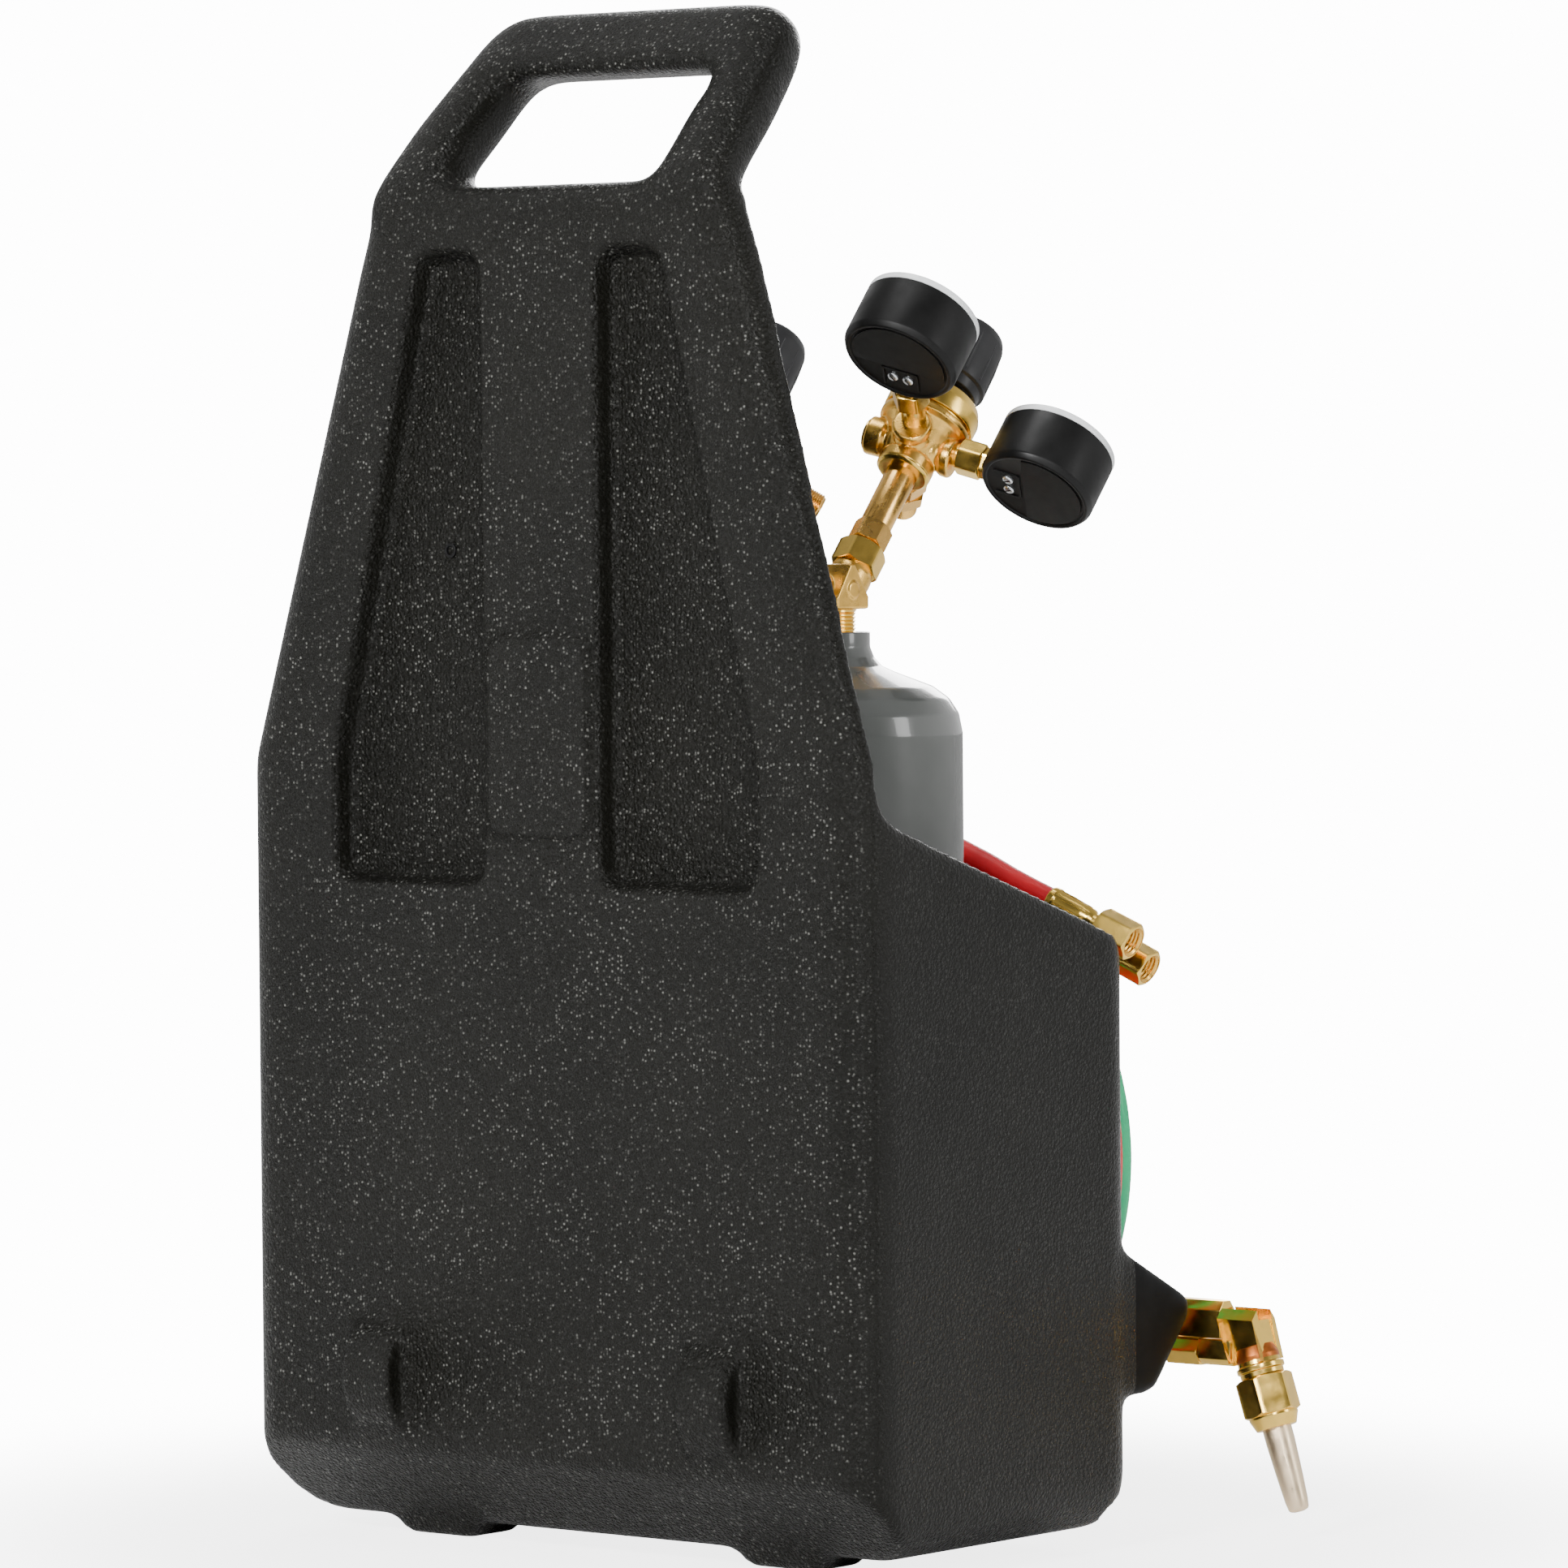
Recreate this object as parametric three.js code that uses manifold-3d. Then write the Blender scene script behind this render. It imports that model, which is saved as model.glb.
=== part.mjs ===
// Portable oxy-acetylene torch carrier: a moulded tote with two cylinders, two regulators,
// a cutting torch across the front and a twin hose coiled on the front wall.
// Millimetres, +Z up, the front towards -Y. The tote is drawn about its own middle plane and
// set at tote.x; the model is then moved so that the origin lies under the middle of its box.
import * as THREE from "three";
import { mergeVertices } from "three/addons/utils/BufferGeometryUtils.js";
import Module from "manifold-3d";

const wasm = await Module();
wasm.setup();

// ---- driving dimensions ----

const GAP = 0.3; // clearance between pieces that touch
const ORIGIN_SHIFT = [28, 48.25, 0]; // moves the model to the centre of its box

const tote = {
  x: -3.2,
  halfWidth: 189.2,
  back: 95,
  front: -107,
  bottom: 8,
  wall: 5,
  shoulder: 370,
  bend: 639,
  bendHalfWidth: 106,
  panelTop: 26, // thickness of the back panel under the handle and above the side walls
  panelLow: 15,
  backRound: 20,
  frontRound: 12,
  sideTopBack: 339,
  sideTopFront: 288.5,
  thickBackFrom: 300,
};
const handle = { lean: 44, thickness: 28, length: 117.2, topHalfWidth: 88, corner: 22, round: 8 };
const handleWindow = { low: 637, high: 690, lowHalfWidth: 66.7, highHalfWidth: 67.5 };
const oxygen = { x: -92, y: -8, radius: 62, neck: 19.4, neckTop: 429, shoulder: 388, base: 26 };
const acetylene = { x: 46, y: -30, radius: 51, neck: 19.4, neckTop: 429, shoulder: 388, base: 26 };
const valveLean = 39.8; // degrees from vertical, of both arms of the V-shaped valve
const valveAxisZ = 435;
const regulatorReach = 106; // from the valve's axis to the middle of the regulator
const gauge = { radius: 28, rear: -8, dial: 11, front: 20, lens: 3 };
const torch = {
  y: -175.5,
  z: 97,
  rear: 138,
  gripFront: -28,
  headX: -206.6,
  headTop: 106,
  tipLean: 18.3,
};
const hose = { diameter: 11, coilX: -18, coilZ: 178, inner: 119, outer: 142, near: -109.2, far: -154.8 };

// ---- materials ----

const paint = (color, roughness, metalness = 0) =>
  new THREE.MeshStandardMaterial({ color, roughness, metalness });
const materials = {
  polyethylene: paint(0x1b1c1c, 0.55),
  enamel: paint(0x5d6163, 0.3),
  brass: paint(0xc79a3f, 0.25, 1),
  copper: paint(0xd08c66, 0.3, 1),
  blackPlastic: paint(0x0c0c0d, 0.35),
  steel: paint(0x9a9c9e, 0.35, 1),
  clear: paint(0xdfe6ea, 0.1),
  redHose: paint(0xb3202c, 0.5),
  greenHose: paint(0x12855a, 0.5),
};

// ---- solids ----

function solid(geometry, matrix) {
  const bare = geometry.index ? geometry.toNonIndexed() : geometry.clone();
  bare.deleteAttribute("normal");
  bare.deleteAttribute("uv");
  if (matrix) bare.applyMatrix4(matrix);
  const merged = mergeVertices(bare, 1e-4);
  const made = new wasm.Manifold(
    new wasm.Mesh({
      numProp: 3,
      vertProperties: merged.attributes.position.array,
      triVerts: new Uint32Array(merged.index.array),
    }),
  );
  return made;
}

function meshOf(name, shape, material) {
  const data = shape.getMesh();
  const geometry = new THREE.BufferGeometry();
  geometry.setAttribute("position", new THREE.BufferAttribute(data.vertProperties, 3));
  geometry.setIndex(new THREE.BufferAttribute(data.triVerts, 1));
  geometry.computeVertexNormals();
  const mesh = new THREE.Mesh(geometry, material);
  mesh.name = name;
  return mesh;
}

const joined = (...shapes) => shapes.reduce((all, next) => all.add(next));

// A box between two corners.
function block(low, high) {
  const size = high.map((value, i) => value - low[i]);
  const middle = high.map((value, i) => (value + low[i]) / 2);
  const place = new THREE.Matrix4().makeTranslation(...middle);
  return solid(new THREE.BoxGeometry(...size), place);
}

// Turns +Z to a direction and moves the origin to a point.
function along(start, direction) {
  const turn = new THREE.Quaternion().setFromUnitVectors(
    new THREE.Vector3(0, 0, 1),
    new THREE.Vector3(...direction).normalize(),
  );
  return new THREE.Matrix4().compose(
    new THREE.Vector3(...start),
    turn,
    new THREE.Vector3(1, 1, 1),
  );
}

// A turned solid from [radius, height] pairs that start and end on the axis or close up.
function turned(profile, segments = 24, start = [0, 0, 0], direction = [0, 0, 1]) {
  const points = profile.map(([radius, height]) => new THREE.Vector2(radius, height));
  const upright = new THREE.Matrix4().makeRotationX(Math.PI / 2);
  const made = solid(
    new THREE.LatheGeometry(points, segments),
    along(start, direction).multiply(upright),
  );
  return made;
}

// A plain rod or a ring from one height to another along a direction.
function rod(radius, from, to, segments = 14, start = [0, 0, 0], direction = [0, 0, 1]) {
  const profile = [[0, from], [radius, from], [radius, to], [0, to]];
  return turned(profile, segments, start, direction);
}

function ring(inner, outer, from, to, segments = 18, start = [0, 0, 0], direction = [0, 0, 1]) {
  const profile = [[inner, from], [outer, from], [outer, to], [inner, to], [inner, from]];
  return turned(profile, segments, start, direction);
}

// A hexagon bar, by its width across the flats.
function hexagon(flats, from, to, start = [0, 0, 0], direction = [0, 0, 1]) {
  return rod(flats / Math.sqrt(3), from, to, 6, start, direction);
}

// An outline whose corners are rounded; each point is [a, b, corner radius].
function outline(points, steps = 3) {
  const path = new THREE.Shape();
  const count = points.length;
  points.forEach(([x, y, radius = 0], i) => {
    const corner = new THREE.Vector2(x, y);
    const back = new THREE.Vector2(...points[(i + count - 1) % count].slice(0, 2)).sub(corner);
    const forth = new THREE.Vector2(...points[(i + 1) % count].slice(0, 2)).sub(corner);
    const half = Math.acos(back.dot(forth) / (back.length() * forth.length())) / 2;
    const middle = back.normalize().clone().add(forth.normalize()).normalize();
    const centre = corner.clone().addScaledVector(middle, radius / Math.sin(half));
    const start = corner.clone().addScaledVector(back, radius / Math.tan(half)).sub(centre);
    const end = corner.clone().addScaledVector(forth, radius / Math.tan(half)).sub(centre);
    const sweep = Math.atan2(start.cross(end), start.dot(end));
    for (let step = 0; step <= (radius ? steps : 0); step++) {
      const angle = radius ? (sweep * step) / steps : 0;
      const point = start.clone().rotateAround(new THREE.Vector2(), angle).add(centre);
      if (i === 0 && step === 0) path.moveTo(point.x, point.y);
      else path.lineTo(point.x, point.y);
    }
  });
  path.closePath();
  return path;
}

// A shape extruded along +Z, with rounded edges when round is given.
function extruded(shape, depth, round = 0, segments = 3, thickness = round) {
  return new THREE.ExtrudeGeometry(shape, {
    depth: depth - 2 * thickness,
    bevelEnabled: round > 0,
    bevelThickness: thickness,
    bevelSize: round,
    bevelOffset: -round,
    bevelSegments: segments,
    curveSegments: 6,
  });
}

// An outline in X and Z, extruded from yLow to yHigh.
function frontPrism(points, yLow, yHigh, round = 0, segments = 3, thickness = round) {
  const place = new THREE.Matrix4()
    .makeTranslation(0, yHigh - thickness, 0)
    .multiply(new THREE.Matrix4().makeRotationX(Math.PI / 2));
  return solid(extruded(outline(points), yHigh - yLow, round, segments, thickness), place);
}

// An outline in Y and Z, extruded from xLow to xHigh.
function sidePrism(points, xLow, xHigh, round = 0, segments = 2) {
  const place = new THREE.Matrix4()
    .makeTranslation(xLow + round, 0, 0)
    .multiply(new THREE.Matrix4().makeBasis(
      new THREE.Vector3(0, 1, 0),
      new THREE.Vector3(0, 0, 1),
      new THREE.Vector3(1, 0, 0),
    ));
  return solid(extruded(outline(points), xHigh - xLow, round, segments), place);
}

// A tube of a round section along a smooth curve through the points.
function tube(points, radius, sides = 8, spacing = 26) {
  const curve = new THREE.CatmullRomCurve3(points.map((point) => new THREE.Vector3(...point)));
  const section = new THREE.Shape();
  for (let i = 0; i < sides; i++) {
    const angle = (2 * Math.PI * i) / sides;
    const x = radius * Math.cos(angle);
    const y = radius * Math.sin(angle);
    if (i === 0) section.moveTo(x, y);
    else section.lineTo(x, y);
  }
  section.closePath();
  const steps = Math.max(2, Math.round(curve.getLength() / spacing));
  return solid(new THREE.ExtrudeGeometry(section, { steps, extrudePath: curve }));
}

const mirrored = (points) => points.map(([x, z, radius = 0]) => [-x, z, radius]).reverse();

// ---- the tote ----

function handleSolid() {
  const { length, topHalfWidth, corner, thickness } = handle;
  const lean = THREE.MathUtils.degToRad(handle.lean);
  const loop = outline([
    [-tote.bendHalfWidth, -12],
    [tote.bendHalfWidth, -12],
    [tote.bendHalfWidth, 0, 14],
    [topHalfWidth, length, corner],
    [-topHalfWidth, length, corner],
    [-tote.bendHalfWidth, 0, 14],
  ]);
  // Local x across, local y up the handle, local z from its back face to its front face.
  const place = new THREE.Matrix4()
    .makeTranslation(0, tote.back, tote.bend)
    .multiply(new THREE.Matrix4().makeRotationX(Math.PI / 2 + lean))
    .multiply(new THREE.Matrix4().makeTranslation(0, 0, handle.round));
  const behind = block([-200, tote.back, 500], [200, tote.back + 60, 700]);
  return solid(extruded(loop, thickness, handle.round, 3), place).subtract(behind);
}

function toteSolid() {
  const { halfWidth, back, front, bottom, wall, shoulder, bend, bendHalfWidth } = tote;
  const panelFront = back - tote.panelTop;
  const face = [
    [-halfWidth, bottom, 24],
    [halfWidth, bottom, 24],
    [halfWidth, shoulder, 30],
    [bendHalfWidth, bend + 4],
    [-bendHalfWidth, bend + 4],
    [-halfWidth, shoulder, 30],
  ];
  const roundedBack = frontPrism(face, front - 40, back, tote.backRound, 4);
  const roundedFront = frontPrism(face, front, back + 40, tote.frontRound, 2);
  const profile = sidePrism(
    [
      [front, bottom - 1],
      [back - 41, bottom - 1],
      [back, bottom + 40, 14],
      [back, bend],
      [panelFront, bend - 10],
      [back - tote.panelLow, tote.sideTopBack + 9, 20],
      [front + 12, tote.sideTopFront, 12],
      [front, tote.sideTopFront - 9, 4],
    ],
    -halfWidth - 1,
    halfWidth + 1,
  );
  const raisedFront = frontPrism(
    [[-92, 200], [92, 200], [76, 301, 12], [-76, 301, 12]],
    front,
    front + wall,
  );
  const cavity = joined(
    frontPrism(
      [[-halfWidth + wall, bottom + wall, 10], [halfWidth - wall, bottom + wall, 10],
        [halfWidth - wall, 420], [-halfWidth + wall, 420]],
      front + wall,
      panelFront,
    ),
    frontPrism(
      [[-halfWidth + 12, bottom + 44, 10], [halfWidth - 12, bottom + 44, 10],
        [halfWidth - 12, tote.thickBackFrom, 10], [-halfWidth + 12, tote.thickBackFrom, 10]],
      panelFront - 1,
      back - wall - 1,
    ),
  ).intersect(sidePrism(
    [[front, bottom], [back - 51, bottom], [back, bottom + 51], [back, 430], [front, 430]],
    -halfWidth,
    halfWidth,
  ));
  const lean = THREE.MathUtils.degToRad(handle.lean);
  const { low, high, lowHalfWidth, highHalfWidth } = handleWindow;
  const window = frontPrism(
    [[-lowHalfWidth, low, 7], [lowHalfWidth, low, 7], [highHalfWidth, high, 10],
      [-highHalfWidth, high, 10]],
    back - 130 * Math.sin(lean),
    back + 5,
  );
  let body = joined(roundedBack.intersect(roundedFront).intersect(profile).subtract(cavity),
    raisedFront, handleSolid()).subtract(window);

  // two long recesses in the back, a raised pad between them and the vent hole
  const recess = [[35, 606, 9], [35, 313, 9], [128, 313, 9], [128, 372, 20], [73, 606, 9]];
  for (const side of [recess, mirrored(recess)])
    body = body.subtract(frontPrism(side, back - 8, back + 8, 5, 2, 8));
  body = body.add(frontPrism(
    [[-30, 337, 7], [30, 337, 7], [30, 427, 7], [-30, 427, 7]], back - 3, back + 2.5, 2, 2));
  body = body.subtract(rod(1.6, -4, 4, 8, [63, back - 8, 468], [0, 1, 0]));

  // half-disc skid lugs on the back, and four moulded feet
  for (const x of [-102, 102])
    body = body.add(rod(35.6, -15, 15, 28, [x, back - 22.6, 80], [1, 0, 0])
      .subtract(block([x - 20, back - 80, 0], [x + 20, back - 3, 200])));
  for (const x of [-105, 105])
    for (const y of [-90, 18])
      body = body.add(frontPrism(
        [[x - 21, 0, 2], [x + 21, 0, 2], [x + 29, bottom + 2], [x - 29, bottom + 2]], y, y + 36));

  body = body.translate(tote.x, 0, 0);

  // cups that hold the cylinders' feet
  for (const { x, y, radius, base } of [oxygen, acetylene]) {
    body = body.add(rod(radius + 5.5, bottom + 1, 62, 24, [x, y, 0]));
    body = body.subtract(rod(radius + 2, base, 90, 24, [x, y, 0]));
  }
  return body.add(bracketSolid());
}

// Side brackets with torch hooks, and two pegs for the hose, all moulded on the front wall.
function bracketSolid() {
  const { front, halfWidth, x } = tote;
  const gusset = [[front + 7, 141], [-156.6, 112.5, 6], [-154.5, 104, 4], [-126.5, 70, 8],
    [front + 7, 70]];
  const gussetWidth = 24;
  const tubeFloor = 82.6;
  const tubeHook = [[front + 3, 60], [torch.y - 14, 60, 5], [torch.y - 14, 92, 2.5],
    [torch.y - 8, 92, 2.5], [torch.y - 8, tubeFloor, 3], [torch.y + 8, tubeFloor, 2],
    [torch.y + 12, 76, 2], [front + 3, 76]];
  const gripFloor = torch.z - 12.6 - GAP;
  const gripHook = [[front + 3, 66], [torch.y - 22, 66, 6], [torch.y - 22, torch.z + 4, 3],
    [torch.y - 15, torch.z + 4, 3], [torch.y - 15, gripFloor, 4], [torch.y + 10, gripFloor, 2],
    [front + 3, gripFloor + 6]];
  const peg = [[front + 3, 270], [hose.far - 14, 270, 5], [hose.far - 14, 310, 3.5],
    [hose.far - 6, 310, 3.5], [hose.far - 6, 283.8, 5], [front + 3, 283.8]];
  return joined(
    sidePrism(gusset, x - halfWidth + 1, x - halfWidth + 1 + gussetWidth, 3),
    sidePrism(gusset, x + halfWidth - 1 - gussetWidth, x + halfWidth - 1, 3),
    sidePrism(tubeHook, -128, -118),
    sidePrism(gripHook, 131, 162),
    sidePrism(peg, hose.coilX - 52, hose.coilX - 38),
    sidePrism(peg, hose.coilX + 38, hose.coilX + 52),
  );
}

// ---- cylinders and their valves ----

function cylinderSolid({ x, y, radius, neck, neckTop, shoulder, base }, wall) {
  const bore = 13.2;
  const outside = [
    [0, base + GAP + 9],
    [radius - 22, base + GAP + 5],
    [radius - 14, base + GAP],
    [radius - 7, base + GAP],
    [radius, base + GAP + 12],
    [radius, shoulder - 6],
    [radius - 1.6, shoulder + 3],
    [radius - 6, shoulder + 10],
    [radius - 13.5, shoulder + 15.8],
    [neck + 11, shoulder + 22.8],
    [neck + 5.6, shoulder + 25],
    [neck + 2, shoulder + 29],
    [neck, shoulder + 34],
    [neck, neckTop],
    [bore, neckTop],
    [bore, shoulder + 16],
  ];
  const inside = [
    [neck + 6, shoulder + 14],
    [radius - 18, shoulder + 8],
    [radius - wall - 4, shoulder - 2],
    [radius - wall, shoulder - 12],
    [radius - wall, base + 22],
    [radius - 18, base + 12 + wall],
    [0, base + 12 + wall],
  ];
  return turned([...outside, ...inside], 24, [x, y, 0]);
}

const leanRadians = THREE.MathUtils.degToRad(valveLean);
const forwardArm = [0, -Math.sin(leanRadians), Math.cos(leanRadians)];
const rearArm = [0, Math.sin(leanRadians), Math.cos(leanRadians)];

function valveBody({ x, y, neckTop }) {
  const origin = [x, y, valveAxisZ];
  const wedge = [[y - 12, 444], [y + 12, 444], [y + 1.5, 460], [y - 1.5, 460]];
  return joined(
    rod(12.9, neckTop - 22, 441, 16, [x, y, 0]),
    block([x - 15, y - 12, 439.5], [x + 15, y + 12, 445.5]),
    sidePrism(wedge, x - 15, x + 15),
    rod(10.2, 9, 28.6, 14, origin, forwardArm),
    rod(8.8, 28, 41.5, 14, origin, forwardArm),
    rod(9.6, 9, 29, 14, origin, rearArm),
    rod(5, 0, 20, 12, [x, y, 449], [-1, 0, 0]),
  );
}

function buildValve(name, cylinder, group) {
  const { x, y } = cylinder;
  const origin = [x, y, valveAxisZ];
  group.add(meshOf(`${name}_valve_body`, valveBody(cylinder), materials.brass));
  const packing = joined(
    hexagon(20, 29 + GAP, 35, origin, rearArm),
    rod(8, 34, 38, 16, origin, rearArm),
  );
  group.add(meshOf(`${name}_valve_packing_nut`, packing, materials.brass));
  let wheel = joined(
    rod(3, 38 + GAP, 45, 12, origin, rearArm),
    rod(7, 43, 52, 10, origin, rearArm),
    ring(11, 15.6, 43.5, 50.5, 20, origin, rearArm),
  );
  const side = new THREE.Vector3(...rearArm).cross(new THREE.Vector3(1, 0, 0));
  for (let spoke = 0; spoke < 4; spoke++) {
    const angle = (Math.PI / 2) * spoke;
    const direction = [Math.cos(angle), side.y * Math.sin(angle), side.z * Math.sin(angle)];
    const centre = origin.map((value, i) => value + rearArm[i] * 47);
    wheel = wheel.add(rod(2.6, 5, 13, 6, centre, direction));
  }
  group.add(meshOf(`${name}_valve_handwheel`, wheel, materials.blackPlastic));
}

// ---- regulators ----

// A direction in the regulator's own frame: turn is measured from the tote's outer side
// (outward = -1 towards -X, 1 towards +X) up towards the top of the regulator.
function portDirection(turn, outward) {
  const angle = THREE.MathUtils.degToRad(turn);
  return [outward * Math.cos(angle), Math.sin(angle), 0];
}

const ports = { contents: [-26.4, 63], delivery: [63.6, 75], relief: [153.6, 27], outlet: [232, 26] };

function regulatorBody(outward) {
  const arms = Object.values(ports).map(([turn], i) =>
    rod(i < 2 ? 8.5 : 9.5, 4, i < 2 ? 21 : 25, 10, [0, 0, -3], portDirection(turn, outward)));
  const middle = turned(
    [[0, -18], [11.5, -18], [12.5, -10], [16, -6], [19, 5], [22.5, 8], [22.5, 10.6], [21, 10.6],
      [21, 11.9], [0, 11.9]], 18);
  return joined(middle, ...arms);
}

function bonnet() {
  return turned(
    [[17.5, 12.2], [22.5, 12.2], [22.5, 21], [20.5, 25.5], [13, 29.5], [6, 29.8], [6, 27],
      [15, 24.5], [17.5, 20], [17.5, 12.2]], 20);
}

function springSolid() {
  const turns = 3.5;
  const perTurn = 10;
  const count = turns * perTurn;
  const points = Array.from({ length: count + 1 }, (_, i) => {
    const angle = (2 * Math.PI * i) / perTurn;
    return [10.5 * Math.cos(angle), 10.5 * Math.sin(angle), 14.3 + (9 * i) / count];
  });
  return tube(points, 0.9, 4, 7);
}

function adjustingKnob() {
  return turned(
    [[0, 25], [5, 25], [5, 31.5], [16.5, 31.5], [18.6, 34], [17.8, 60], [16.6, 65.5], [13.5, 68.2],
      [0, 68.6]], 20);
}

function outletFitting(outward) {
  const direction = portDirection(ports.outlet[0], outward);
  const start = [0, 0, -3];
  return joined(
    hexagon(17, 25 + GAP, 34, start, direction),
    rod(6.8, 33, 37, 12, start, direction),
    hexagon(17, 36, 45, start, direction),
    rod(7, 44, 57, 12, start, direction),
  ).subtract(rod(3.2, 40, 60, 10, start, direction));
}

function gaugeParts(name, turn, reach, outward, group) {
  const direction = portDirection(turn, outward);
  const centre = direction.map((value) => value * reach);
  const { radius, rear, dial, front, lens } = gauge;
  const cup = turned(
    [[0, rear], [radius - 3, rear], [radius, rear + 2.5], [radius, front], [radius - 2, front],
      [radius - 2, dial], [0, dial]], 20, centre);
  const stem = joined(
    hexagon(14, 28, reach - radius - 4, [0, 0, 0], direction),
    rod(6, 21 + GAP, reach - radius + 2, 14, [0, 0, 0], direction),
  );
  const clear = turned(
    [[0, front + GAP], [radius, front + GAP], [radius, front + lens], [radius - 2.5, front + lens + 1.5],
      [0, front + lens + 1.5]], 20, centre);
  const pointer = joined(
    rod(2.6, dial + 1, dial + 5, 12),
    block([-0.9, -8, dial + 2.5], [0.9, 20, dial + 3.5]),
  ).rotate(0, 0, 135).translate(...centre);
  group.add(meshOf(`${name}_gauge_case`, joined(cup, stem), materials.blackPlastic));
  group.add(meshOf(`${name}_gauge_lens`, clear, materials.clear));
  group.add(meshOf(`${name}_gauge_pointer`, pointer, materials.blackPlastic));
}

function buildRegulator(name, { x, y }, outward, model) {
  const group = new THREE.Group();
  group.position.set(...forwardArm.map((value, i) => [x, y, valveAxisZ][i] + value * regulatorReach));
  group.rotation.x = leanRadians;
  const nut = hexagon(21, -77, -62.6).subtract(rod(9.1, -80, -64.2)).subtract(rod(7.9, -66, -50));
  const stem = joined(
    rod(7.5, -64.1, -61.5),
    hexagon(16.5, -62.3, -51),
    rod(7.6, -52, -18 - GAP),
  );
  group.add(meshOf(`${name}_inlet_nut`, nut, materials.brass));
  group.add(meshOf(`${name}_inlet_stem`, stem, materials.brass));
  group.add(meshOf(`${name}_regulator_body`, regulatorBody(outward), materials.brass));
  group.add(meshOf(`${name}_regulator_spring`, springSolid(), materials.steel));
  group.add(meshOf(`${name}_regulator_bonnet`, bonnet(), materials.brass));
  group.add(meshOf(`${name}_regulator_knob`, adjustingKnob(), materials.blackPlastic));
  group.add(meshOf(`${name}_regulator_outlet`, outletFitting(outward), materials.brass));
  gaugeParts(`${name}_contents`, ...ports.contents, outward, group);
  gaugeParts(`${name}_delivery`, ...ports.delivery, outward, group);
  model.add(group);
}

// ---- torch ----

const torchLine = (x, z = torch.z) => [x, torch.y, z];
const towardsHead = [-1, 0, 0];
const inletOffset = 7.2;
const tipLean = THREE.MathUtils.degToRad(torch.tipLean);
const tipDirection = [-Math.sin(tipLean), 0, -Math.cos(tipLean)];

function torchKnob(x, direction) {
  const start = torchLine(x);
  return joined(
    rod(2.5, 19 + GAP, 24, 10, start, direction),
    turned([[0, 23], [8, 23], [9, 25], [8.6, 35], [7, 37], [0, 37]], 12, start, direction),
  );
}

function torchHandle(knobX, knobDirections) {
  const grip = turned(
    [[0, 2], [10, 2], [12.6, 6], [12.6, 118], [11, 124], [9, 126], [9, 140.5], [0, 140.5]],
    14, torchLine(112), towardsHead);
  const rearBlock = turned(
    [[0, 0], [11, 0], [12.6, 4], [12.6, 24], [11, 27], [0, 27]], 14, torchLine(torch.rear - 7),
    towardsHead);
  const inlets = [-inletOffset, inletOffset].map((offset) =>
    rod(4.6, -7, 3, 10, [torch.rear - 7, torch.y + offset, torch.z], towardsHead));
  const bosses = knobDirections.map((direction) => rod(5, 5, 19, 10, torchLine(knobX), direction));
  return joined(grip, rearBlock, ...inlets, ...bosses);
}

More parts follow.
